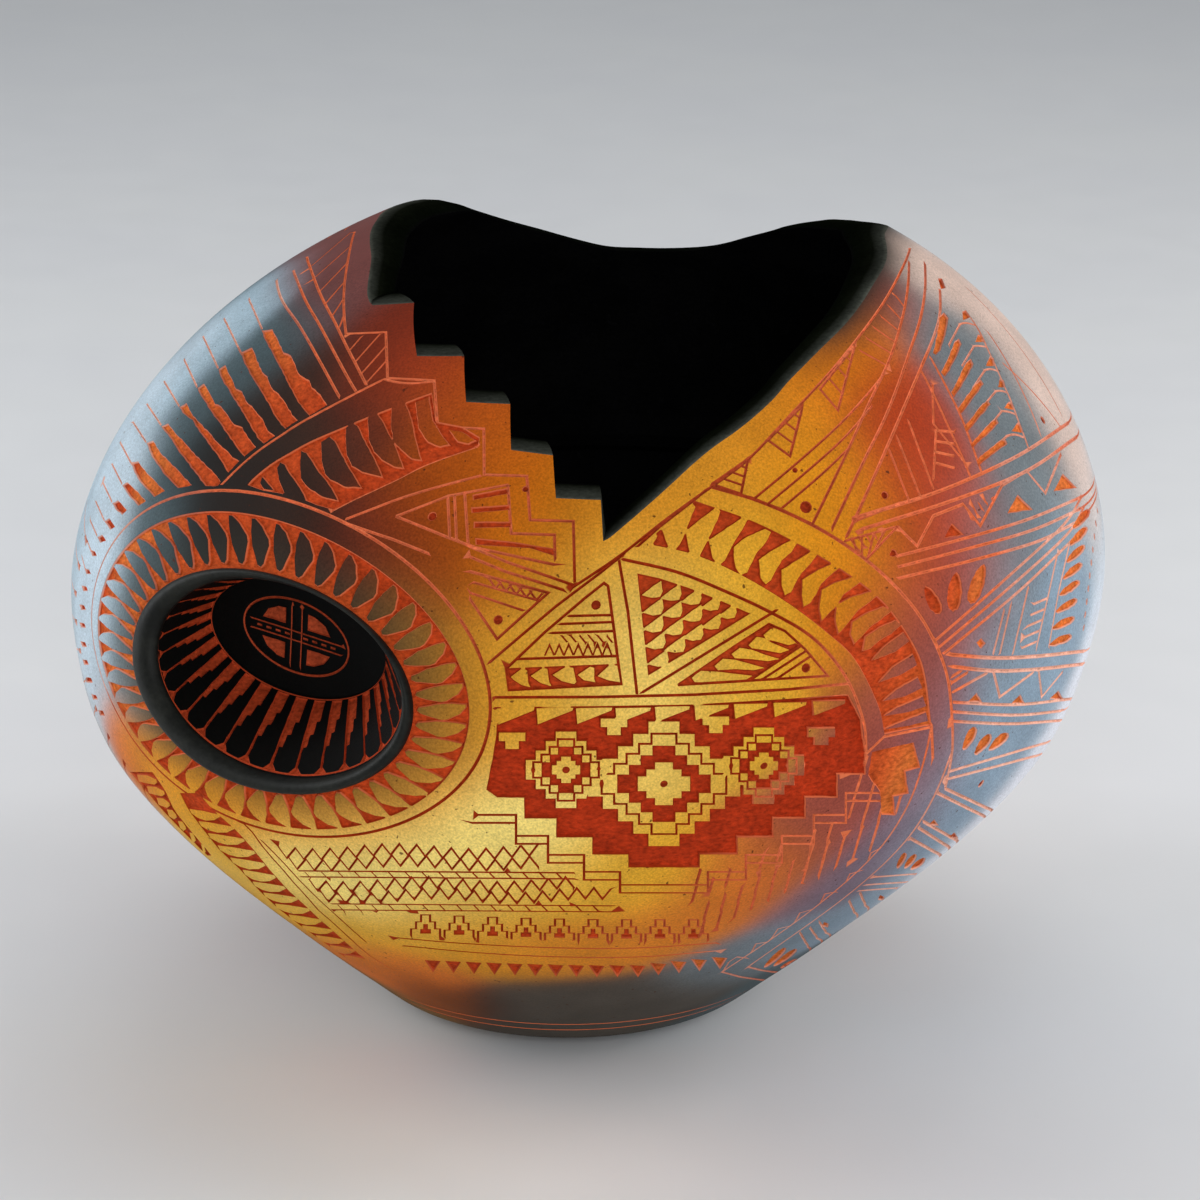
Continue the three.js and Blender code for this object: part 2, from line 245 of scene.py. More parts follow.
def curve(pts, step):
    """smooth curve through the points"""
    p = np.asarray(pts, float)
    if len(p) < 3:
        return fine(p, step)
    q = np.vstack([2 * p[0] - p[1], p, 2 * p[-1] - p[-2]])
    out = []
    for i in range(1, len(q) - 2):
        n = max(2, int(math.ceil(np.linalg.norm(q[i + 1] - q[i]) / step)))
        t = (np.arange(n) / n)[:, None]
        out.append(0.5 * (2 * q[i] + (q[i + 1] - q[i - 1]) * t
                          + (2 * q[i - 1] - 5 * q[i] + 4 * q[i + 1] - q[i + 2]) * t**2
                          + (3 * q[i] - q[i - 1] - 3 * q[i + 1] + q[i + 2]) * t**3))
    out.append(p[-1:])
    return np.vstack(out)


def along(c, u):
    """points of a polyline at fractions u of its length"""
    c = np.asarray(c, float)
    L = np.concatenate([[0], np.cumsum(np.linalg.norm(np.diff(c, axis=0), axis=1))])
    u = np.asarray(u, float) * L[-1]
    return np.stack([np.interp(u, L, c[:, 0]), np.interp(u, L, c[:, 1])], -1)


def rough_edge(pts, amount, seed):
    """a hand-cut wobble on a closed outline"""
    pts = np.asarray(pts, float)
    if amount <= 0:
        return pts
    t = np.roll(pts, -1, 0) - np.roll(pts, 1, 0)
    n = np.stack([-t[:, 1], t[:, 0]], -1)
    n /= np.maximum(1e-9, np.linalg.norm(n, axis=1, keepdims=True))
    k = np.array([rnd(seed * 131 + i) - 0.5 for i in range(len(pts))])[:, None]
    return pts + n * k * 2 * amount


class Design:
    """cuts and islands laid on one chart, in the order they are made"""

    def __init__(self):
        self.items = []

    def poly(self, pts, op="cut", d=0.66, w=0.42, step=3.0, rough=0.0, tone=0, keep=False):
        p = np.asarray(pts, float) if keep else fine(pts, step, True)
        if rough:
            p = rough_edge(p, rough, len(self.items) + 7)
        self.items.append(dict(kind="poly", op=op, pts=p, w=w, d=d, tone=tone))

    def stroke(self, pts, hw=0.38, d=0.42, tone=1, step=3.0):
        p = fine(pts, step)
        self.items.append(dict(kind="stroke", op="cut", pts=p, w=hw, d=d, tone=tone))

    def dot(self, c, r, d=0.5, tone=2, k=1.0, n=10):
        a = np.arange(n) * 2 * PI / n
        self.items.append(dict(kind="poly", op="cut", w=min(0.3, r * 0.5), d=d, tone=tone,
                               pts=np.stack([c[0] + r / k * np.cos(a), c[1] + r * np.sin(a)], -1)))


def offset_line(p, d, closed, k):
    """polyline moved sideways by d, true in the chart's scale at each of its points"""
    k = np.broadcast_to(np.asarray(k, float), (len(p),))
    if closed:
        t0 = (p - np.roll(p, 1, 0)) * np.stack([(k + np.roll(k, 1)) / 2, np.ones(len(p))], -1)
        t1 = np.roll(t0, -1, 0)
    else:
        e = np.diff(p, axis=0) * np.stack([(k[1:] + k[:-1]) / 2, np.ones(len(p) - 1)], -1)
        t0 = np.vstack([e[:1], e])
        t1 = np.vstack([e, e[-1:]])
    t0 = t0 / np.maximum(1e-9, np.linalg.norm(t0, axis=1, keepdims=True))
    t1 = t1 / np.maximum(1e-9, np.linalg.norm(t1, axis=1, keepdims=True))
    n0 = np.stack([-t0[:, 1], t0[:, 0]], -1)
    n1 = np.stack([-t1[:, 1], t1[:, 0]], -1)
    m = n0 + n1
    ml = np.maximum(1e-6, (m * m).sum(1, keepdims=True))
    m = m * np.minimum(2 / ml, 3.0)
    m = np.where(ml < 0.05, n0, m)
    return p + m * d / np.stack([k, np.ones(len(p))], -1)


def signed_area(p):
    x, y = p[:, 0], p[:, 1]
    return 0.5 * float(np.sum(x * np.roll(y, -1) - np.roll(x, -1) * y))


def dist_to_line(q, p, closed):
    """distance of each q to a polyline, and whether it is inside when closed"""
    a = p
    b = np.roll(p, -1, 0) if closed else p[1:]
    a = a if closed else p[:-1]
    best = np.full(len(q), 1e9)
    ins = np.zeros(len(q), bool)
    for s in range(0, len(a), 64):
        aa, bb = a[s:s + 64], b[s:s + 64]
        ab = bb - aa
        l2 = np.maximum(1e-12, (ab * ab).sum(1))
        ap = q[:, None, :] - aa[None]
        t = np.clip((ap * ab[None]).sum(2) / l2[None], 0, 1)
        dd = ap - t[..., None] * ab[None]
        best = np.minimum(best, (dd * dd).sum(2).min(1))
        if closed:
            cond = (aa[None, :, 1] > q[:, None, 1]) != (bb[None, :, 1] > q[:, None, 1])
            dy = np.where(np.abs(ab[:, 1]) < 1e-12, 1e-12, ab[:, 1])
            xi = aa[None, :, 0] + (q[:, None, 1] - aa[None, :, 1]) * (ab[:, 0] / dy)[None]
            ins ^= (np.sum(cond & (q[:, None, 0] < xi), 1) % 2).astype(bool)
    return np.sqrt(best), ins


def carve_depth(design, UV, kscale):
    """depth, cut share and tone at each chart point"""
    n = len(UV)
    depth = np.zeros(n)
    cut = np.zeros(n)
    tone = np.zeros(n)
    order = np.argsort(UV[:, 0], kind="stable")
    us = UV[order, 0]
    for it in design.items:
        p = it["pts"]
        m = it["w"] * 1.5 + 0.2
        kk = float(np.mean(np.interp(p[:, 1], kscale[0], kscale[1])))
        lo, hi = p[:, 0].min() - m / kk * 1.4, p[:, 0].max() + m / kk * 1.4
        i0, i1 = np.searchsorted(us, lo), np.searchsorted(us, hi)
        if i1 <= i0:
            continue
        idx = order[i0:i1]
        v = UV[idx, 1]
        idx = idx[(v > p[:, 1].min() - m) & (v < p[:, 1].max() + m)]
        if not len(idx):
            continue
        # split tall items so that the local scale is right
        kq = np.interp(UV[idx, 1], kscale[0], kscale[1])
        if kq.max() - kq.min() > 0.02:
            groups = [idx[(kq >= g) & (kq < g + 0.02)] for g in np.arange(kq.min(), kq.max() + 1e-6, 0.02)]
        else:
            groups = [idx]
        for g in groups:
            if not len(g):
                continue
            k = float(np.interp(UV[g, 1].mean(), kscale[0], kscale[1]))
            sc = np.array([k, 1.0])
            if it["kind"] == "stroke":
                dist, _ = dist_to_line(UV[g] * sc, p * sc, False)
                sn = (it["w"] - dist) / it["w"]
                wide = 1.9
            else:
                dist, ins = dist_to_line(UV[g] * sc, p * sc, True)
                sn = np.where(ins, dist, -dist) / it["w"]
                wide = 1.0
            if it["op"] == "cut":
                c = np.clip(sn, 0, 1)
                dd = c * it["d"]
                better = dd > depth[g] + 1e-6
                tone[g] = np.where(better, it["tone"], tone[g])
                depth[g] = np.maximum(depth[g], dd)
                cut[g] = np.maximum(cut[g], np.clip(c * wide, 0, 1))
            else:
                c = np.clip(-sn, 0, 1)
                depth[g] = np.minimum(depth[g], c * it["d"])
                cut[g] = np.minimum(cut[g], c)
    return depth, cut, tone


def chart_mesh(design, outline_loops, grid, kscale, eps=0.004):
    """triangulates the chart with every outline of the design as edges"""
    verts, edges = [], []

    def add(p, closed):
        b = len(verts)
        verts.extend(map(tuple, p))
        n = len(p)
        edges.extend((b + i, b + i + 1) for i in range(n - 1))
        if closed:
            edges.append((b + n - 1, b))

    for loop, closed in outline_loops:
        add(loop, closed)
    for it in design.items:
        p = it["pts"]
        k = np.interp(p[:, 1], kscale[0], kscale[1])
        if it["kind"] == "stroke":
            add(p, False)
            add(offset_line(p, it["w"], False, k), False)
            add(offset_line(p, -it["w"], False, k), False)
        else:
            if signed_area(p) < 0:
                p, k = p[::-1], k[::-1]
                it["pts"] = p
            add(p, True)
            inward = it["w"] if it["op"] == "cut" else -it["w"]
            add(offset_line(p, inward, True, k), True)
    for g in grid:
        verts.append((float(g[0]), float(g[1])))
    vs = [Vector((float(x), float(y))) for x, y in verts]
    res = delaunay_2d_cdt(vs, edges, [], 0, eps)
    V = np.array([tuple(v) for v in res[0]], float)
    F = np.array([f for f in res[2] if len(f) == 3], int)
    return V, F


# =====================================================================  colours
def lin(c):
    c = np.asarray(c, float) / 255.0
    return np.where(c <= 0.04045, c / 12.92, ((c + 0.055) / 1.055) ** 2.4)


# =====================================================================  mouth edge
def lip_points():
    """mouth edge on the outer surface: square steps, then a smooth sweep, about 1.6 mm apart"""
    steps = LIP[:LIP_STEPS]
    sweep = np.vstack([LIP[LIP_STEPS - 1:], LIP[:1]])
    return np.vstack([fine(steps, 1.6)[:-1], curve(sweep, 1.8)])[:-1]


def lip_chart():
    c = chart_of(lip_points())[::-1]
    k = int(np.argmin(c[:, 0]))
    c = np.roll(c, -k, 0)
    # keep the run rising in U
    out = [c[0]]
    for p in c[1:]:
        if p[0] > out[-1][0] + 0.02:
            out.append(p)
    c = np.array(out)
    a, b = c[-1], c[0] + np.array([2 * U_MAX, 0])
    t = (U_MAX - a[0]) / (b[0] - a[0])
    v = a[1] + (b[1] - a[1]) * t
    c = c[(c[:, 0] > -U_MAX + 0.4) & (c[:, 0] < U_MAX - 0.4)]
    return np.vstack([[-U_MAX, v], c, [U_MAX, v]])


LIPC = lip_chart()


def lip_v(u):
    return np.interp(u, LIPC[:, 0], LIPC[:, 1])


# =====================================================================  the carved design
bd = Design()
LINE = 1.02                       # breadth of the finest tool marks


def sheet(x0, y0, k):
    """drawing sheet laid over part of the front view"""
    return lambda *pts: np.array([(x0 + x / k, y0 + y / k) for x, y in pts], float)


SA = sheet(90, 190, 2.9585)       # left shoulder
SB = sheet(470, 470, 3.136)       # middle, under the notch
SC = sheet(820, 220, 2.306)       # right flank
SD = sheet(100, 690, 1.8233)      # lower half
SP = sheet(0, 0, 1.0)             # the whole front


def at(deg, z):
    return (math.radians(deg) * BODY_R, float(s_of_z(z)))


def ease(p, reach):
    """even out a drawn line along its length, its ends staying put"""
    l = np.concatenate([[0], np.cumsum(np.linalg.norm(np.diff(p, axis=0), axis=1))])
    n = max(8, int(l[-1] / 0.9))
    x = np.linspace(0, l[-1], n)
    q = np.stack([np.interp(x, l, p[:, k]) for k in (0, 1)], -1)
    w = max(1, min(int(reach / 0.9), (n - 1) // 2))
    for _ in range(3):
        a = np.vstack([2 * q[0] - q[w:0:-1], q, 2 * q[-1] - q[-2:-w - 2:-1]])
        c = np.vstack([[0, 0], np.cumsum(a, 0)])
        q = (c[2 * w + 1:] - c[:-2 * w - 1]) / (2 * w + 1)
    return q[::2] if n > 24 else q


def drawn(px, smooth, reach=None):
    """chart line of a line drawn as seen; its ends stop where the clay turns out of sight"""
    q = curve(px, 7) if smooth else fine(px, 7)
    p = seen(q)
    k = np.linalg.norm(np.diff(p, axis=0), axis=1) / (0.243 * np.maximum(.2, np.linalg.norm(np.diff(q, axis=0), axis=1)))
    good = np.flatnonzero(k < 9)
    if smooth and len(good) and len(p) > 3:
        p = p[good[0]:good[-1] + 2]
    if smooth and len(p) > 3:
        # the flatter the clay is seen, the more a drawn line is evened out
        p = ease(p, reach or min(9.0, 1.6 * max(1.0, float(np.mean(k[good])) if len(good) else 1.0)))
    return p


def line(px, hw=0.36, smooth=False, tone=1, d=0.38, reach=None):
    right = float(np.clip((np.mean(np.asarray(px)[:, 0]) - 850) / 70, 0, 1))
    bd.stroke(drawn(px, smooth, reach), hw * LINE * (1 + 0.3 * right), d, tone)


def lines(group, **kw):
    for g in group:
        line(g, **kw)


def area(px, op="cut", rough=0.0, d=0.66, w=0.42, tone=0, smooth=False, step=7):
    p = np.vstack([curve(np.vstack([px, px[:1]]), step)[:-1]]) if smooth else fine(px, step, True)
    bd.poly(seen(p), op, d, w, rough=rough, tone=tone, keep=True)


def ring_line(px, **kw):
    line(np.vstack([px, px[:1]]), **kw)


def mark(px, r=1.1):
    c = seen(np.asarray(px, float).reshape(1, 2))[0]
    bd.dot(c, r, k=float(body_scale(c[0], c[1])))


def hatch(a, b, c, n, hw=0.3, frame_=True):
    """triangle a-b-c with lines parallel to the side a-b"""
    a, b, c = (np.asarray(v, float) for v in (a, b, c))
    if frame_:
        line(np.array([a, b, c, a]))
    for i in range(1, n):
        t = i / n
        line(np.array([a + (c - a) * t, b + (c - b) * t]), hw=hw)


def band_leaves(inner, outer, n, shape, u0=0.0, u1=1.0, op="fill", rough=0.06, mirror=False, put=area, step=5):
    """leaf shapes between two curves; shape is (share of the pitch, share of the width)"""
    pitch = (u1 - u0) / n
    for i in range(n):
        uc = u0 + (i + 0.5) * pitch
        pts = []
        for du, v in shape:
            u = np.clip(uc + (-du if mirror else du) * pitch, 0, 1)
            pts.append(along(inner, [u])[0] * (1 - v) + along(outer, [u])[0] * v)
        put(np.array(pts), op, rough=rough, step=step)


LEAF = [(.34, .96), (.12, .93), (-.14, .80), (-.40, .52), (-.30, .34), (-.06, .05), (.03, .04), (.18, .20), (.40, .50), (.44, .74)]
BLADE = [(-.41, .985), (-.46, .72), (-.42, .42), (-.20, .06), (-.02, .03), (.14, .10), (.45, .50), (.40, .62), (.06, .86), (-.28, .985)]
TOOTH = [(-.45, .03), (.40, .03), (.02, .55), (-.30, .92), (-.44, .60)]

# ---- oval feather ring round the window, in the window's own frame
BAND_OUT = (-5.5, 113.6, 60.9, 37.5)
BAND_IN = (-5.5, 112.5, 56.8, 34.6)


def oval(o, t):
    t = np.asarray(t, float)
    return np.stack([o[0] + o[2] * np.cos(t), o[1] + o[3] * np.sin(t)], -1)


_t = np.linspace(0, 2 * PI, 181)
bd.stroke(win_to_chart(oval(BAND_OUT, _t)), 0.42, 0.45, 1)
bd.poly(win_to_chart(oval(BAND_IN, _t[:-1])), "cut", 0.72, 0.42, keep=True)
N_RING = 47
for i in range(N_RING):
    tc = PI / 2 - (i + 0.5) * 2 * PI / N_RING
    pitch = 2 * PI / N_RING
    pts = []
    for du, v in BLADE:
        t = tc - du * pitch * (0.95 + 0.04 * rnd(i) - 0.09 * max(0.0, math.sin(tc)))
        a, b = oval(RIM_OUT, t), oval(BAND_IN, t)
        pts.append(a + (b - a) * (0.06 + v * (0.905 - 0.035 * math.cos(tc - 1.1))))
    p = fine(np.array(pts), 2.2, True)
    bd.poly(win_to_chart(p), "fill", 0.72, 0.40, keep=True, rough=0.07)

# ---- left shoulder: diagonal band, stepped flames above it, feathers below it
UP = SP((222, 484), (240, 466), (260, 449.5), (280, 436), (300, 423), (320, 412), (340, 401.5), (360, 391), (384, 379))
LO = SP((247, 485), (253, 478), (270, 464), (290, 452), (310, 441), (340, 428), (370, 415.5), (400, 404), (418, 397))
line(UP, smooth=True, hw=0.42)
line(SP((384, 379), (400, 383), (420, 383), (434, 381)), smooth=True)
FE_IN = SP((333, 510), (352, 500), (380, 487), (400, 477.5), (420, 467), (440, 459), (460, 452), (478, 446))
area(np.vstack([curve(LO, 8), SP((432, 392), (436, 421), (462, 426), (480, 437)), curve(FE_IN, 8)[::-1],
                SP((316, 505), (300, 498.5), (280, 493.5), (262, 490.5))]), "cut")
for leaf in (
        ((262, 477), (267, 483), (273, 490), (264, 489), (260, 483)),
        ((280, 463), (284, 465), (290, 475), (297, 485), (303, 494), (305, 499), (285, 494), (279, 480), (277, 468)),
        ((301, 451), (306, 453), (312, 462), (318, 472), (326, 481), (333, 492), (337, 500), (322, 496), (308, 487), (301, 478), (300, 465)),
        ((321, 442), (329, 437), (334, 441), (340, 452), (345, 462), (352, 474), (360, 487), (345, 486), (330, 479), (325, 474), (322, 460)),
        ((346, 428), (352, 423), (357, 426), (360, 433), (366, 445), (374, 460), (381, 476), (362, 471), (352, 465), (347, 455), (346, 440)),
        ((368, 418), (376, 413), (381, 420), (386, 430), (392, 441), (398, 455), (402, 467), (394, 466), (382, 459), (374, 451), (369, 440)),
        ((392, 406), (404, 402), (411, 420), (414, 436), (418, 452), (420, 459), (412, 458), (402, 450), (394, 441), (391, 425)),
        ((416, 402), (428, 397), (432, 420), (440, 434), (448, 444), (440, 446), (428, 441), (419, 428)),
        ((450, 430), (462, 432), (474, 440), (468, 443), (458, 441))):
    area(SP(*leaf), "fill", rough=.08, step=5)
line(FE_IN, smooth=True)
line(SP((346, 519), (372, 509), (398, 499), (430, 489), (484, 474.6)), smooth=True)

FLAMES = (
    ((261, 330), (272, 329), (276, 335), (280, 344), (284, 352), (291, 355), (295, 365), (300, 375), (309, 380), (312, 387), (320, 394), (327, 405), (309, 416),
     (298, 402), (286, 380), (276, 360), (265, 340)),
    ((241, 352), (252, 347), (257, 360), (262, 371), (267, 376), (271, 387), (281, 396), (287, 405), (292, 414), (298, 420), (285, 429), (277, 420), (266, 400),
     (253, 380), (244, 363)),
    ((218, 369), (225, 365), (231, 377), (236, 388), (242, 391), (247, 402), (254, 408), (262, 418), (268, 430), (275, 436), (263, 444), (257, 437), (245, 417),
     (232, 396), (222, 380)),
    ((197, 388), (204, 383), (210, 393), (215, 403), (221, 406), (228, 415), (234, 424), (242, 427), (248, 437), (256, 447), (244, 457), (236, 447), (222, 427),
     (210, 410), (200, 395)),
    ((179, 407), (186, 403), (193, 415), (202, 425), (209, 432), (216, 441), (225, 449), (233, 457), (239, 461), (228, 473), (217, 455), (203, 437), (192, 420),
     (182, 413)),
    ((161, 426), (168, 423), (175, 433), (184, 441), (191, 450), (201, 460), (211, 470), (221, 481), (218, 486), (205, 486), (193, 470), (181, 455), (171, 440)),
    ((146, 443), (153, 440), (160, 452), (170, 462), (180, 472), (192, 485), (178, 488), (163, 473), (152, 457)),
    ((131, 463), (138, 461), (146, 472), (156, 482), (165, 491), (154, 497), (141, 484), (133, 470)),
    ((122, 485), (127, 482), (137, 491), (146, 501), (138, 506), (127, 494)),
    ((112, 503), (118, 500), (127, 510), (122, 515), (115, 509)),
    ((104, 521), (109, 518), (115, 527), (110, 530)),
    ((97, 537), (102, 534), (106, 541), (100, 543)))
for p in FLAMES:
    area(SP(*p), "cut", rough=.12, step=4)
for x, y in ((92, 553), (86, 571), (83, 588), (81, 607), (81, 625), (82, 644), (84, 662), (88, 680), (93, 697), (100, 713)):
    area(SP((x - 2, y - 3), (x + 3, y - 2), (x + 5, y + 3), (x, y + 3)), rough=.08, step=4)
for a, b in (((249, 299), (262, 329)), ((224, 318), (241, 353)), ((203, 336), (218, 368)), ((184, 359), (197, 387)), ((164, 381), (179, 406)),
             ((147, 404), (161, 425)), ((133, 422), (146, 442)), ((120, 442), (131, 463)), ((112, 464), (122, 484)), ((103, 483), (112, 502)),
             ((96, 502), (104, 520)), ((90, 520), (97, 536)), ((86, 538), (91, 551)), ((82, 557), (85, 569))):
    line(SP(a, b), hw=.26, d=.3)
lines([SP((275, 273), (282, 300), (300, 326), (325, 370), (340, 398)), SP((291, 264), (306, 301), (320, 325), (345, 372), (357, 393)),
       SP((307, 257), (318, 288), (327, 307), (337, 325), (346, 345), (356, 363), (367, 386))], smooth=True)
line(SP((356, 226), (349, 256), (344, 295), (346, 334)), smooth=True)
for a, b in (((309, 268), (351, 232)), ((313, 279), (348, 248)), ((319, 292), (346, 264)), ((325, 304), (345, 281)), ((332, 316), (344, 298)), ((339, 328), (344, 315)),
             ((349, 351), (361, 337)), ((355, 362), (380, 334)), ((361, 374), (385, 347)), ((368, 381), (386, 361))):
    line(SP(a, b), hw=.3)

# ---- border along the mouth
BORDER_L = SA((757, 425), (875, 420), (880, 556), (1018, 563), (1028, 700), (1165, 706), (1166, 842), (1292, 846),
              (1302, 976), (1430, 980), (1434, 1160))
line(BORDER_L)
BORDER_R = np.vstack([SB((322, 368), (480, 262), (600, 165), (760, 50), (870, -30)),
                      SP((790, 415), (830, 372), (860, 335), (885, 300), (905, 262), (913, 236))])
line(BORDER_R, smooth=True)
for a, b, c in [((712, 484), (748, 459), (741, 494)), ((768, 440), (803, 405), (790, 456)),
                ((820, 389), (855, 345), (838, 410))]:
    hatch(a, c, b, 4)
lines([SP((861, 351), (888, 366)), SP((868, 339), (891, 353)), SP((875, 328), (895, 342)), SP((882, 317), (898, 330)), SP((889, 306), (901, 319)), SP((896, 296), (904, 306))], hw=.3)

# ---- wedge panels left of the notch
line(SB((0, 240), (120, 290), (322, 360)))
line(SB((0, 272), (110, 318), (292, 376)))
area(SA((1130, 900), (1236, 880), (1238, 898), (1132, 918)), rough=.05)
area(SA((1126, 938), (1242, 930), (1242, 946), (1128, 956)), rough=.05)
area(SA((1134, 980), (1246, 980), (1246, 998), (1134, 1000)), rough=.05)
area(SA((1138, 1028), (1250, 1040), (1375, 1060), (1376, 1084), (1300, 1060), (1140, 1050)), rough=.05)
lines([SA((905, 965), (1060, 905), (1236, 872)), SA((1236, 872), (1246, 1016), (1374, 1020), (1376, 1090)),
       SA((905, 965), (1060, 1028), (1140, 1058), (1372, 1108)), SA((1058, 905), (1064, 1028)),
       SA((1078, 902), (1084, 1032)), SA((1108, 892), (1118, 1042)), SA((752, 985), (900, 1035), (1000, 1075))])
mark(SA((1012, 965))[0])
mark(SA((1288, 884))[0], 0.8)
line(SB((0, 318), (245, 385), (85, 530), (0, 405)))
line(SB((10, 352), (210, 408)), hw=.3)
for i in range(5):
    line(SB((60 + 32 * i, 340 + 10 * i), (80 + 32 * i, 372 + 9 * i), (96 + 32 * i, 350 + 10 * i)), hw=.28)
line(SB((0, 385), (165, 440)), hw=.3)
mark(SB((88, 470))[0])

# ---- triangle panels under the notch
line(SP((490, 662), (530, 628), (555, 607), (580, 588), (600, 573), (620, 557)))
line(SP((507, 668), (525, 651), (545, 632), (565, 615), (585, 598), (604, 583), (608, 586), (613, 622), (621, 684), (509, 690), (506, 668)))
lines([SP((569, 616), (611, 615)), SP((561, 624), (612, 622)), SP((552, 633), (614, 631)), SP((518, 659), (617, 656))], hw=.32)
mark((596, 605), 1.1)
for i in range(7):
    x = 545 + 9.6 * i
    line(SP((x, 655), (x + 4.5, 645 - i * .3), (x + 9, 655)), hw=.22, d=.28)
for i in range(6):
    line(SP((562 + 9 * i, 636), (567 + 9 * i, 642)), hw=.22, d=.28)
area(SP((507, 668), (618, 663.5), (621, 684), (509, 690)))
for p in (((511, 677), (523, 668), (527, 671), (528, 683), (530, 687), (522, 685), (514, 680)),
          ((531, 676), (543, 668), (547, 669), (549, 682), (551, 686), (541, 683)),
          ((553, 675), (566, 667), (573, 668), (576, 682), (574, 684), (562, 681)),
          ((578, 675), (590, 667), (594, 668), (594, 679), (595, 682), (584, 680)),
          ((598, 676), (610, 665), (617, 666), (620, 682), (608, 680))):
    area(SP(*p), "fill", step=5, w=.36)
line(SP((619, 560), (628, 612), (637, 694)))
area(SP((637, 573), (660, 578), (690, 588), (720, 600), (751, 613.5), (700, 645), (648, 676)))
for x, y in ((642, 595), (643, 612.5), (643, 629.5), (645, 646.5), (648, 664),
             (661, 598), (662, 615), (663, 632.5), (665, 650),
             (681, 602), (682, 619), (683, 638), (701, 608), (702, 627), (719, 616)):
    k = 1 - max(0, x - 680) * .0035
    area(SP((x, y), (x + 11 * k, y - 8.5 * k), (x + 19 * k, y - 14 * k), (x + 20.4 * k, y - 4), (x + 18 * k, y + 1.5), (x + 10 * k, y + 2.6)), "fill", step=5, w=.36, rough=.05)
line(SP((643, 692), (700, 657), (776, 610.5)))
area(SP((678, 685), (700, 669), (735, 646), (769, 625), (783, 632), (800, 646), (776, 662), (752, 680)))
for p in (((764, 635), (771, 629), (781, 630), (796, 643), (789, 645), (775, 641), (766, 639)),
          ((749, 645), (757, 637), (763, 638), (772, 643), (789, 650), (780, 653), (765, 650), (752, 648)),
          ((732, 654), (740, 648), (752, 650), (765, 655), (779, 659), (768, 661), (752, 659), (735, 658)),
          ((715, 666), (723, 659), (735, 660), (750, 664), (764, 668), (754, 670), (735, 669), (718, 670)),
          ((692, 678), (700, 671), (718, 672), (735, 674), (752, 676), (745, 680), (715, 682), (695, 682))):
    area(SP(*p), "fill", step=5, w=.34)
lines([SP((678, 685), (735, 646), (769, 624), (785, 631), (805, 649), (828, 676), (760, 680), (678, 685)), SP((752, 679), (801, 646)), SP((763, 679), (806, 651)),
       SP((778, 678), (811, 656))], hw=.32)
mark((806, 668), 1.1)

# ---- great arc of feathers
A3 = SB((765, 55), (900, 95), (1060, 165), (1200, 250), (1320, 350), (1420, 470), (1490, 620), (1510, 750), (1513, 880), (1490, 1000))
A2 = SB((705, 95), (900, 165), (1100, 270), (1250, 370), (1330, 450), (1400, 560), (1430, 650), (1448, 800))
A1 = SB((545, 230), (700, 265), (850, 330), (1000, 420), (1130, 520), (1210, 600), (1280, 740), (1300, 830))
A0 = SB((480, 280), (650, 320), (800, 380), (950, 450), (1080, 530), (1180, 650), (1235, 790), (1243, 890))
line(A3, smooth=True, hw=.42)
line(A0, smooth=True, hw=.40)
area(np.vstack([curve(A2, 8), curve(A1, 8)[::-1]]))
for p in (((644, 541), (653, 533), (657, 536), (652, 545), (646, 546)),
          ((661, 526), (678, 514), (692, 503), (695, 507), (692, 514), (687, 527), (683, 537), (679, 545), (674, 550), (669, 548), (666, 540)),
          ((686, 531), (702, 518), (716, 508), (720, 511), (717, 520), (711, 533), (705, 545), (700, 555), (695, 557), (690, 552), (688, 543)),
          ((709, 540), (720, 533), (742, 518), (747, 520), (742, 530), (735, 540), (730, 550), (725, 560), (719, 565), (713, 558), (711, 548)),
          ((734, 547), (745, 538), (765, 529), (771, 532), (766, 542), (757, 552), (752, 562), (747, 572), (741, 575), (736, 568), (734, 556)),
          ((759, 560), (770, 552), (790, 541), (797, 543), (791, 552), (782, 560), (776, 570), (771, 580), (766, 584), (761, 578), (760, 568)),
          ((782, 570), (793, 563), (811, 552), (817, 554), (811, 563), (801, 573), (796, 582), (791, 592), (785, 595), (782, 585)),
          ((803, 580), (815, 572), (834, 563), (841, 566), (830, 575), (821, 584), (816, 594), (810, 603), (804, 606), (802, 595)),
          ((822, 590), (835, 583), (855, 577), (863, 580), (853, 587), (843, 595), (836, 606), (828, 614), (822, 620), (820, 608)),
          ((837, 605), (850, 598), (870, 592), (878, 595), (868, 603), (858, 610), (852, 618), (845, 626), (839, 633), (836, 620)),
          ((853, 622), (866, 614), (884, 607), (891, 611), (881, 619), (870, 627), (862, 636), (855, 643), (851, 634)),
          ((866, 637), (880, 628), (896, 621), (901, 625), (892, 633), (880, 640), (871, 648), (864, 650)),
          ((873, 660), (886, 646), (904, 633), (909, 641), (896, 651)),
          ((880, 682), (893, 668), (913, 655), (917, 665), (902, 674)),
          ((884, 701), (897, 690), (918, 678), (922, 688), (905, 696)),
          ((885, 716), (898, 708), (923, 697), (926, 706), (908, 712)),
          ((886, 729), (900, 723), (926, 713), (928, 721), (908, 726))):
    area(SP(*p), "fill", rough=.06, step=5)
line(SP((638, 546), (661, 525.5), (694, 500), (706, 490)))
line(SB((1243, 890), (1300, 836), (1448, 806)), hw=.36)
line(SB((1448, 806), (1452, 905)), hw=.36)

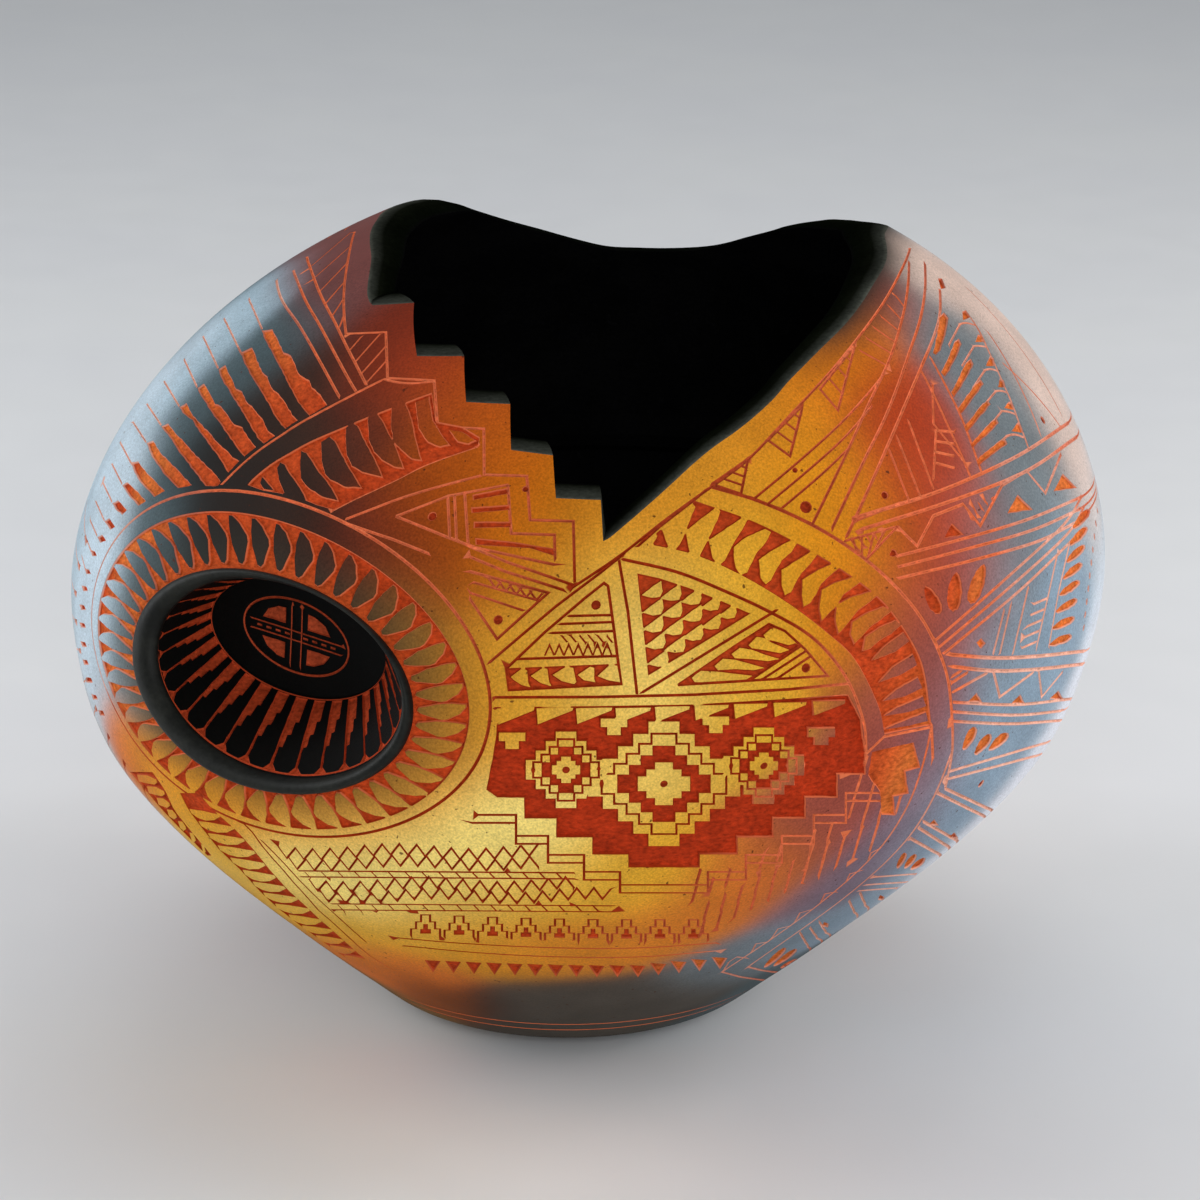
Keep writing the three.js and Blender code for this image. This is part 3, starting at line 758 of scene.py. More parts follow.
# ---- bands under the panels and the row of teeth
line(SB((80, 713), (400, 712), (700, 705), (1000, 688), (1190, 670)))
line(SB((78, 748), (400, 745), (700, 740), (1000, 722), (1180, 708)))
FIELD = np.vstack([SP((497, 709), (560, 708.5), (625, 707.5), (693, 706), (790, 700), (849, 695), (862, 720), (866, 752)),
                   SP((866, 775), (838, 775), (838, 798), (806, 798), (806, 819), (774, 819), (774, 838), (738, 838),
                      (738, 855), (700, 855), (700, 868), (628, 868), (628, 855), (592, 855), (592, 838), (556, 838),
                      (556, 819), (524, 819), (524, 798), (497, 798), (486, 790), (492, 760), (496, 735))])
area(FIELD, d=0.85, w=0.34, tone=3, rough=.05)
for i in range(9):
    x0 = 85 + 124 * i
    y0 = 752 - max(0, i - 3) * 4.2
    w = 116 - 2 * i
    area(SB((x0, y0 - 4), (x0 + w, y0 - 6), (x0 + w * .98, y0 + 2), (x0 + 4, y0 + 46 - i)), "fill", d=0.85, step=6)


def lozenge(c, w, h, n):
    """outline of a diamond in n square steps, about c"""
    c = np.asarray(c, float)
    q = []
    for k in range(n):
        q.append((w * (n - k) / n, h * k / n + (h / n if False else 0)))
        q.append((w * (n - k) / n, h * (k + 1) / n))
    quarter = np.array(q)
    out = [quarter, quarter[::-1] * [-1, 1], quarter * [-1, -1], quarter[::-1] * [1, -1]]
    return c + np.vstack(out)


# three nested stepped diamonds and small steps between them
for cx, cy, w, h, n in [(664, 784, 76, 62, 5), (566, 770, 40, 38, 4), (764, 766, 40, 38, 4)]:
    area(lozenge((cx, cy), w, h, n), "fill", d=.85, step=6)
    area(lozenge((cx, cy), w * .62, h * .62, max(3, n - 1)), "cut", d=.7, tone=3, step=6)
    area(lozenge((cx, cy), w * .34, h * .34, 3), "fill", d=.85, step=6)
    line(np.vstack([lozenge((cx, cy), w * .82, h * .81, n), lozenge((cx, cy), w * .82, h * .81, n)[:1]]), hw=.28)
    mark((cx, cy), .9)
for cx, cy in [(614, 728), (716, 726), (512, 742), (822, 738)]:
    area(SP((cx - 13, cy - 9), (cx + 13, cy - 9), (cx + 13, cy - 1), (cx + 6.5, cy - 1), (cx + 6.5, cy + 7), (cx - 6.5, cy + 7),
            (cx - 6.5, cy - 1), (cx - 13, cy - 1)), "fill", d=.85, step=6)

# stepped lines that follow the lower edge of the field, then zigzags and a tooth row
for k, dy in enumerate((9, 17)):
    st = [(478 - 6 * k, 806 + dy), (516, 806 + dy), (516, 827 + dy), (548, 827 + dy), (548, 846 + dy), (584, 846 + dy), (584, 863 + dy),
          (620, 863 + dy), (620, 876 + dy), (708, 876 + dy), (708, 863 + dy), (746, 863 + dy), (746, 846 + dy), (782, 846 + dy),
          (782, 827 + dy), (814, 827 + dy), (814, 806 + dy), (846, 806 + dy), (846, 784 + dy), (880, 784 + dy)]
    line(SP(*st), hw=.32)


def b2b_x(y):
    return float(np.interp(y, [818, 838, 858, 880, 900, 918, 938, 955], [233, 250, 270, 290, 310, 330, 352, 372]))


# close zigzags on the pale ground at the left
for k in range(6):
    y = 852 + 11.0 * k
    x0, x1 = b2b_x(y) + 14, (538, 538, 574, 574, 611, 611)[k]
    n = int((x1 - x0) / 8.5)
    pts = [(x0 + (x1 - x0) * i / n, y + (5.5 if i % 2 else -5.5) + 2.5 * math.sin(i * .35)) for i in range(n + 1)]
    if k in (2, 5):
        line(SP((x0, y - 3), (x1, y - 1)), hw=.30)
        line(SP((x0 + 4, y + 3), (x1, y + 5)), hw=.30)
        for i in range(0, n, 2):
            line(SP((x0 + 6 + (x1 - x0 - 8) * i / n, y - 2), (x0 + 12 + (x1 - x0 - 8) * i / n, y + 4)), hw=.24, d=.3)
    else:
        line(SP(*pts), hw=.30)
line(SP(*[(b2b_x(y) + 9, y) for y in range(842, 952, 10)]), hw=.32)

# terraces along the foot of the pale ground
for i in range(9):
    x = 408 + 33.5 * i + 3
    y = 936 + 5 * math.sin(min(1, i / 7) * PI * .55)
    line(SP((x, y), (x, y - 7), (x + 5, y - 7), (x + 5, y - 14), (x + 10, y - 14), (x + 10, y - 21), (x + 19, y - 21), (x + 19, y - 14),
            (x + 24, y - 14), (x + 24, y - 7), (x + 29, y - 7), (x + 29, y)), hw=.30)
    area(SP((x + 9, y - 2), (x + 9, y - 7), (x + 12, y - 7), (x + 12, y - 12), (x + 17, y - 12), (x + 17, y - 7), (x + 20, y - 7), (x + 20, y - 2)), step=5, w=.3)
line(SP((398, 938), (470, 944), (560, 948), (640, 948), (716, 943)), smooth=True, hw=.36)
line(SP((405, 946), (480, 953), (560, 957), (640, 957), (716, 951)), smooth=True, hw=.36)
for i in range(15):
    x = 424 + 20.5 * i
    y = 956 + 5 * math.sin(min(1, i / 9) * PI * .5) - max(0, i - 10) * 2.0
    area(SP((x, y + 4), (x + 17, y + 5), (x + 9, y + 17)), tone=0, step=6)
for z in (8.6, 11.4):
    bd.stroke(np.array([at(d, z) for d in np.linspace(-179.7, 179.7, 150)]), .34, .36, 1)

# stepped block at the end of the arc
area(SP((872, 752), (914, 742), (921, 768), (906, 772), (909, 794), (894, 797), (896, 816), (882, 815), (880, 792), (868, 776)), rough=.1)

# lower right: rows of slanted ticks beside the arc band
for r in range(7):
    for i in range(13):
        x = 700 + 17.0 * i - 4 * r + (r % 2) * 8
        y = 936 - 9.0 * i - 17 * r + 0.30 * i * i * (r + 1) / 7
        if x > 902 - 7.5 * abs(r - 2.5) or y < 800 + (x - 760) * -0.02 and x < 800 or y > 962 - (x - 700) * .36:
            continue
        if x < 846 and y < 836 or x < 800 and y < 858 or x < 760 and y < 884:
            continue
        line(SP((x, y), (x + 4.5, y - 15)), hw=.40, d=.36)

# ---- arc band on the lower right, its lines and triangles
L1 = SD((1508, 40), (1530, 130), (1500, 225), (1420, 332), (1300, 432), (1140, 518), (1000, 575))
L2 = SD((1540, 60), (1560, 140), (1530, 240), (1450, 350), (1330, 452), (1165, 538), (1040, 590))
line(np.vstack([A3[-2:], SP((938, 792), (923, 815), (905, 842), (875, 874), (840, 902), (810, 923), (780, 943), (748, 967))]), smooth=True, hw=.38, d=.36, reach=14)
line(np.vstack([SB((1448, 800)), SP((932, 758), (926, 779), (905, 814), (880, 849), (850, 879), (820, 904), (785, 930), (750, 954), (722, 972))]),
     smooth=True, hw=.38, d=.36, reach=14)
line(SP((722, 972), (740, 977), (768, 981)), hw=.36, d=.34)
line(SP((748, 967), (762, 970.5), (780, 973)), hw=.36, d=.34)
for p in (((724, 970), (729, 962), (737, 957), (746, 958)), ((751, 953), (756, 944), (768, 942)), ((772, 938), (778, 929), (790, 926)), ((795, 922), (800, 913), (814, 909)),
          ((821, 902), (825, 894), (836, 892)), ((846, 882), (850, 874), (860, 871)), ((868, 861), (871, 853), (881, 848))):
    line(SP(*p), hw=.26, d=.3)

# ---- right flank
lines([SP((909, 262), (908, 285), (903, 315), (890, 358), (868, 405), (848, 450), (828, 492), (813, 523)),
       SP((925, 264), (925, 290), (920, 320), (910, 350), (898, 385), (884, 420), (868, 452), (850, 490), (831, 531)),
       SP((940, 290), (940, 314), (934, 336), (922, 365), (907, 400), (890, 440), (869, 488), (847, 536))], smooth=True, hw=.36)
lines([SP((755, 498), (798, 462), (838, 426), (866, 396), (884, 374)), SP((769, 503), (812, 467), (846, 436), (872, 406)), SP((782, 508), (822, 474), (852, 445))], smooth=True, hw=.32)
lines([SP((858, 520), (900, 503)), SP((845, 541), (870, 534), (898, 526), (866, 560)), SP((853, 538), (856, 550)), SP((862, 536), (862, 556)),
       SP((874, 533), (869, 554)), SP((885, 530), (876, 548))], hw=.3)
mark((806, 507), 1.5)
mark((795, 470), .7)
mark((885, 495), 1.0)
mark((894, 553), .9)
lines([SP((922, 372), (935, 397), (950, 430), (962, 456), (971, 478)), SP((931, 358), (946, 386), (960, 414), (971, 442), (982, 473))], smooth=True, hw=.34)
for p in (((933, 353), (937, 335), (940, 316), (944, 312), (949, 318), (946, 335), (941, 350), (936, 355)),
          ((941, 372), (947, 360), (955, 341), (959, 338), (962, 344), (957, 356), (950, 370), (945, 377)),
          ((951, 392), (957, 381), (966, 362), (971, 358), (974, 364), (968, 376), (960, 389), (954, 398)),
          ((958, 408), (965, 398), (976, 383), (981, 379), (984, 384), (977, 394), (968, 406), (961, 414)),
          ((964, 427), (971, 418), (983, 403), (988, 400), (991, 404), (984, 413), (975, 423), (968, 432)),
          ((969, 445), (978, 436), (991, 421), (997, 418), (999, 423), (991, 432), (980, 441), (973, 448)),
          ((976, 460), (985, 452), (1000, 440), (1006, 439), (1008, 444), (998, 451), (986, 460), (979, 466)),
          ((938, 278), (942, 278), (946, 288), (941, 289)), ((962, 311), (966, 310), (971, 317), (963, 320)),
          ((978, 334), (982, 335), (985, 342), (975, 342)), ((990, 355), (994, 358), (996, 366), (986, 366)),
          ((1000, 378), (1004, 380), (1006, 388), (998, 387)), ((1009, 401), (1013, 403), (1015, 410), (1004, 408)),
          ((1018, 422), (1021, 424), (1024, 433), (1011, 431))):
    area(SP(*p), "cut", rough=.1, step=4)
lines([SP((960, 324), (968, 320), (975, 325)), SP((974, 346), (981, 342), (987, 347)), SP((985, 370), (992, 366), (998, 371)), SP((996, 391), (1003, 387), (1008, 393)),
       SP((1002, 411), (1009, 409), (1015, 414)), SP((1007, 436), (1016, 431), (1025, 438))], smooth=True, hw=.26, d=.3)
line(SP((971, 318), (979, 330), (989, 352), (998, 371), (1004, 386), (1011, 400), (1018, 420), (1025, 438), (1029, 449)), smooth=True, hw=.32)
for k, (p, q) in enumerate((((949, 345), (960, 324)), ((962, 366), (974, 346)), ((973, 388), (985, 370)), ((981, 409), (996, 391)), ((989, 427), (1002, 411)), ((994, 448), (1007, 436)))):
    line(SP(p, q), hw=.24, d=.28)
lines([SP((967, 288), (986, 311), (1018, 345), (1048, 390), (1062, 416)), SP((988, 332), (1008, 368), (1025, 405), (1041, 436)),
       SP((1004, 364), (1030, 386), (1052, 412), (1060, 426))], smooth=True, hw=.3, reach=16)
mark((1043, 420))


def petal(c, l, w, ang, put=area, conv=SC, **kw):
    a = math.radians(ang)
    t = np.arange(12) * 2 * PI / 12
    x = np.cos(t) * l / 2
    y = np.sin(t) * w / 2 * (1 + 0.22 * np.cos(t))
    pts = np.stack([c[0] + x * math.cos(a) - y * math.sin(a), c[1] + x * math.sin(a) + y * math.cos(a)], -1)
    put(conv(*[tuple(v) for v in pts]), rough=.12, step=5, **kw)


lines([SC((260, 380), (262, 470), (335, 560)), SC((205, 465), (262, 620)), SC((180, 505), (232, 638)), SC((160, 530), (205, 645))], hw=.3)
for y in (485, 510, 535, 560):
    line(SC((268, y), (310, y + 4 + (y - 485) * .1)), hw=.32)
line(SC((268, 485), (262, 595)), hw=.3)
lines([SC((75, 688), (270, 627), (450, 547), (572, 468)), SC((100, 712), (290, 652), (470, 582), (592, 500))], smooth=True, hw=.38)
lines([SC((180, 708), (225, 752), (262, 682), (330, 655), (370, 705), (420, 612), (455, 590)),
       SC((480, 582), (520, 630), (556, 540))], hw=.34)
for c, s in [((310, 722), 24), ((462, 662), 30), ((566, 612), 28), ((170, 770), 14)]:
    area(SC((c[0] - s, c[1] + s * .5), (c[0] - s * .2, c[1] - s), (c[0] + s, c[1] + s * .2)), rough=.1, step=4)
for i in range(5):
    line(SC((340 + 14 * i, 668 - 6 * i), (350 + 12 * i, 690 - 12 * i)), hw=.26, d=.3)
    line(SC((70 + 18 * i, 735 - 5 * i), (88 + 14 * i, 760 - 9 * i)), hw=.26, d=.3)
lines([SC((178, 775), (330, 735), (480, 690), (600, 640)), SC((180, 800), (340, 758), (490, 715), (596, 668)),
       SC((182, 826), (350, 785), (500, 742), (585, 700))], smooth=True, hw=.32)
for c, n_, w_, a in [((933, 600), 32, 13, 63), ((955, 592), 40, 15, 95), ((977.5, 584), 43, 14, 109)]:
    petal(c, n_, w_, a, conv=SP)
for c, n_, w_, a in [((775, 958), 30, 6.5, -42), ((785, 958), 30, 6, -36), ((790, 964), 22, 5.5, -24)]:
    petal(c, n_, w_, a, conv=SP)
lines([SC((268, 968), (420, 835), (560, 705), (602, 640)), SC((275, 985), (440, 845), (570, 725), (610, 660)),
       SC((285, 1000), (460, 855), (590, 730))], smooth=True, hw=.32)
for k in range(8):
    petal((604 - 7 * k, 690 + 40 * k), 60, 19, -52 + 4 * k)
for k in range(10):
    mark(SC((640 - 3.5 * k, 670 + 30 * k))[0], .9)
lines([SC((575, 750), (550, 860), (528, 985)), SC((548, 770), (500, 985)), SC((480, 850), (445, 1000)), SC((440, 890), (415, 1000)), SC((425, 900), (400, 1000))], hw=.3)
for x, y in ((1042, 600), (1039, 611), (1036, 622), (1033, 633), (1030, 644)):
    line(SP((x - 8, y + 4), (x + 6, y - 2)), hw=.26, d=.32)
area(SC((360, 975), (372, 964), (384, 976), (372, 990)), rough=.1, step=4)
lines([SC((302, 1002), (400, 1010), (500, 1006), (610, 994)), SC((308, 1030), (400, 1040), (500, 1036), (606, 1024))], smooth=True, hw=.38)
lines([SC((400, 1040), (415, 1100), (490, 1045)), SC((505, 1042), (512, 1100), (560, 1042)), SC((308, 1088), (385, 1045)),
       SC((306, 1066), (340, 1044)), SC((306, 1052), (322, 1042))], hw=.34)
for c in [(360, 1104), (460, 1108), (548, 1098)]:
    area(SC((c[0] - 20, c[1] + 8), (c[0] + 2, c[1] - 14), (c[0] + 16, c[1] + 10)), rough=.1, step=4)
lines([SC((308, 1112), (450, 1118), (580, 1104)), SC((306, 1134), (450, 1142), (572, 1130)), SC((304, 1156), (440, 1162), (556, 1154))], smooth=True, hw=.32)
for c, a in [((345, 1196), -62), ((376, 1210), -52), ((412, 1204), -42)]:
    petal(c, 62, 22, a)
lines([SC((298, 1272), (420, 1236), (540, 1200)), SC((292, 1290), (400, 1262), (520, 1230)), SC((290, 1312), (410, 1368)), SC((272, 1322), (392, 1382)),
       SC((240, 1388), (330, 1440)), SC((228, 1402), (310, 1455)), SC((212, 1428), (290, 1472))], hw=.34)
mark(SC((372, 1300))[0])
for c in [(262, 1392), (308, 1422)]:
    area(SC((c[0] - 14, c[1] + 4), (c[0] + 2, c[1] - 10), (c[0] + 14, c[1] + 6)), rough=.08, step=4)
for c, a in [((188, 1478), -60), ((208, 1480), -50), ((226, 1486), -38)]:
    petal(c, 44, 15, a)
lines([SP((877, 877), (916, 874)), SP((866, 885), (910, 882)), SP((858, 891), (897, 888)), SP((849, 901), (857, 918)), SP((860, 893), (868, 912)),
       SP((800, 933), (811, 952)), SP((810, 928), (821, 944)), SP((820, 923), (829, 938))], hw=.32)
for x, y in ((825, 925), (881, 898)):
    area(SP((x - 3, y + 2), (x - 1, y - 3), (x + 4, y - 1), (x + 3, y + 3)), rough=.08, step=4)

# ---- lower left: two plain bands with leaf strips between them
Y_ = [770, 790, 810, 830, 850, 870, 890, 908, 918, 928, 937, 947, 956, 967]
X1R = [165, 178, 188, 203, 219, 240, 258, 277, 290, 303, 316, 330, 343, 360]     # right edge of the first band
X2L = [182, 196, 213, 236, 254, 270, 288, 308, 318, 330, 340, 351, 361, 377]     # left edge of the second band
X1L = [151, 165, 174, 190, 207, 223, 245]                                        # left edge of the first band
XS = [127, 144, 161, 180, 200, 222, 244]                                         # the turn of the side
x1r = lambda y: float(np.interp(y, Y_, X1R))
x2l = lambda y: float(np.interp(y, Y_, X2L))
x1l = lambda y: float(np.interp(y, Y_[:7], X1L))
xs_ = lambda y: float(np.interp(y, Y_[:7], XS))
ys = np.arange(793, 966, 7.0)
area(np.vstack([SP(*[(x1r(y), y) for y in ys]), SP(*[(x2l(y), y) for y in ys[::-1]])]))
y = 815.5
while y < 962:
    xl, xr = x1r(y - 3), x2l(y + 2)
    w = xr - xl
    t = 5.0 - 0.6 * (y > 880) - .7 * (y > 925)
    area(SP((xl - .5, y - t * 1.25), (xl + w * .38, y - t * .85), (xr - 3.5, y - t * .15), (xr - 2, y + t * .3), (xr - w * .24, y + t * .95), (xl + w * .5, y + t * 1.0),
            (xl + w * .26, y + t * .5), (xl + 2, y - t * .35)), "fill", step=5, w=.36, rough=.05)
    y += 12.2 - 1.2 * (y > 870) - 1.1 * (y > 920)
ys = np.arange(772, 858, 7.0)
area(np.vstack([SP(*[(x1l(y), y) for y in ys]), SP(*[(xs_(y) + 1, y) for y in ys[::-1]])]))
y = 780.0
while y < 852:
    xl, xr = xs_(y) + 1, x1l(y)
    w = xr - xl
    area(SP((xl + .5, y - 5), (xl + w * .5, y - 4.2), (xr - 2, y), (xr - 1.2, y + 2.6), (xr - 4, y + 4.6), (xl + w * .5, y + 3.4), (xl + 2.5, y + 1.6)), "fill", step=5, w=.36)
    y += 11.6
line(SP((244, 824), (252, 832), (262, 846), (272, 858), (283, 870), (293, 882), (305, 895), (318, 910), (332, 922), (345, 934), (358, 946), (370, 956), (388, 967)), hw=.34)

# ---- left side, back and right side, laid out in the chart directly
def cpoly(pts, op="cut", rough=0.0, step=3.0, **kw):
    bd.poly(np.asarray(pts, float), op, step=step, rough=rough, **kw)


def cline(pts, hw=0.38, smooth=False, **kw):
    p = curve(pts, 3.0) if smooth else np.asarray(pts, float)
    bd.stroke(p, hw, **kw)




def run_on(px, deg, hw=.32):
    """carry a line that leaves the front on round the side, as far as an upright"""
    p = drawn(px, True, 4.0)
    a, b = p[-5], p[-1]
    u1 = math.radians(deg) * BODY_R
    slope = float(np.clip((b[1] - a[1]) / max(abs(b[0] - a[0]), .3), -.75, .75))
    x = np.linspace(0, 1, 9)
    run = (u1 - b[0]) * x
    cline(np.stack([b[0] + run, b[1] + slope * abs(u1 - b[0]) * (x - .45 * x * x)], -1), hw=hw)


for px in (SC((75, 688), (270, 627), (450, 547), (572, 468)), SC((100, 712), (290, 652), (470, 582), (592, 500)),
           SC((178, 775), (330, 735), (480, 690), (600, 640)), SC((180, 800), (340, 758), (490, 715), (596, 668)), SC((182, 826), (350, 785), (500, 742), (585, 700)),
           SC((302, 1002), (400, 1010), (500, 1006), (610, 994)), SC((308, 1030), (400, 1040), (500, 1036), (606, 1024)),
           SC((308, 1112), (450, 1118), (580, 1104)), SC((306, 1134), (450, 1142), (572, 1130)), SC((304, 1156), (440, 1162), (556, 1154)),
           SC((298, 1272), (420, 1236), (540, 1200)), SC((292, 1290), (400, 1262), (520, 1230)), SC((290, 1312), (350, 1340), (410, 1368)),
           SC((272, 1322), (332, 1352), (392, 1382))):
    run_on(px, 94.0)

# ticks and lines that go on round the left end of the window ring
for i in range(10):
    t = math.radians(169 + 7.0 * i)
    o = np.array(oval(BAND_OUT, t))
    dv_ = np.array([math.cos(t), 0.9 * math.sin(t)])
    tn_ = np.array([-dv_[1], dv_[0]])
    p0 = win_to_chart(np.array([o]))[0] + dv_ * 17
    cpoly([p0 - tn_ * .9, p0 + tn_ * .9, p0 + tn_ * .6 + dv_ * 5, p0 - tn_ * .4 + dv_ * 5], rough=.1, step=2.0)
    cline([p0 + dv_ * 5.2, p0 + dv_ * 24], hw=.26, d=.3)


def feather_ring(cdeg, cz, a, b, n, hand):
    """oval ring of feathers about a stepped diamond"""
    c = np.array(at(cdeg, cz))
    t = np.linspace(0, 2 * PI, 121)
    o = lambda aa, bb, tt: np.stack([c[0] + aa * np.cos(tt), c[1] + bb * np.sin(tt)], -1)
    cline(o(a, b, t), hw=.42)
    bd.poly(o(a - 4, b - 4, t[:-1]), "cut", keep=True)
    for i in range(n):
        tc = (i + .5) * 2 * PI / n
        pts = []
        for du, v in BLADE:
            tt = tc + hand * du * 2 * PI / n
            p0, p1 = o(a - 17, b - 16, np.array([tt]))[0], o(a - 4, b - 4, np.array([tt]))[0]
            pts.append(p0 + (p1 - p0) * (.04 + .94 * v))
        cpoly(pts, "fill", rough=.06, step=2.5)
    bd.poly(o(a - 17.5, b - 16.5, t[:-1]), "fill", keep=True)
    cline(o(a - 20.5, b - 19.5, t), hw=.34)
    w, h = (a - 23) * .92, (b - 21) * .92
    cpoly(lozenge(c, w, h, 4), "cut", d=.7, tone=3)
    cpoly(lozenge(c, w * .64, h * .64, 4), "fill")
    cpoly(lozenge(c, w * .34, h * .34, 3), "cut", d=.6)


for sg in (1, -1):
    feather_ring(sg * 139, 96, 50, 46, 40, sg)
    # lines below the lip, and hatched triangles hanging from them
    for dz, hw in ((0, .4), (4.5, .34)):
        u = sg * np.radians(np.linspace(104, 179.6, 40)) * BODY_R
        cline(np.stack([u, lip_v(u) - 9.5 - dz], -1), hw=hw)
    for i in range(9):
        u0 = sg * math.radians(112 + 7.4 * i) * BODY_R
        u1 = sg * math.radians(112 + 7.4 * i + 5.6) * BODY_R
        um = (u0 + u1) / 2
        a_, b_, c_ = (u0, float(lip_v(u0)) - 14.6), (u1, float(lip_v(u1)) - 14.6), (um, float(lip_v(um)) - 25)
        cline([a_, c_, b_], hw=.34)
        for t in (.28, .5, .72):
            cline([(u0 + (u1 - u0) * t, float(lip_v(u0 + (u1 - u0) * t)) - 14.8),
                   (u0 + (um - u0) * t, a_[1] + (c_[1] - a_[1]) * t)], hw=.26, d=.3)
    # bands that divide the back
    for z0, hw in ((38, .4), (43, .34), (20, .36), (24, .36)):
        cline([at(sg * d, z0) for d in np.linspace(80, 179.6, 44)], hw=hw)
    cline([at(sg * 79.6, z) for z in (19.6, 27, 35, 43.4)], hw=.36)
    n = 26
    for i in range(n):
        d0 = 80.4 + i * 99 / n
        cpoly([at(sg * d0, 25.3), at(sg * (d0 + 99 / n * .86), 25.3), at(sg * (d0 + 99 / n * .43), 36)], rough=.06)
    # leaf strip between the ring and the flank
    x0 = 96 if sg > 0 else 108
    e0 = np.array([at(sg * x0, z) for z in np.linspace(50, 140, 24)])
    e1 = np.array([at(sg * (x0 + 4.6), z) for z in np.linspace(50, 140, 24)])
    bd.poly(np.vstack([e0, e1[::-1]]), "cut", keep=True)
    for i in range(22):
        u = (i + .5) / 22
        pts = []
        for du, v in LEAF:
            uu = np.clip(u + du / 22, 0, 1)
            pts.append(along(e0, [uu])[0] * (1 - v) + along(e1, [uu])[0] * v)
        cpoly(pts, "fill", rough=.05)
    cline([at(sg * (x0 - 1.6), z) for z in np.linspace(50, 141, 24)], hw=.36)
    cline([at(sg * (x0 + 6.2), z) for z in np.linspace(50, 141, 24)], hw=.36)


# ===================================================================== slip colours, with painted sheen on the turning edges
SLIP_AND_SHEEN_COLOURS = {
    "frost": (212, 214, 222), "ice": (188, 202, 212), "mist": (152, 174, 186), "steel": (126, 145, 161), "pewter": (102, 110, 114), "slate": (68, 82, 86),
    "soot": (20, 19, 17), "umber": (56, 36, 27), "moss": (76, 70, 63), "olive": (114, 86, 44),
    "plum": (108, 62, 58), "mauve": (112, 94, 106), "rose": (140, 68, 56), "blush": (202, 176, 162),
    "brick": (116, 40, 20), "rust": (162, 55, 22), "cinnamon": (160, 70, 14), "terracotta": (198, 104, 38),
    "amber": (192, 104, 12), "marigold": (204, 132, 20), "honey": (204, 134, 34), "ochre": (214, 160, 44), "cream": (240, 216, 124),
}


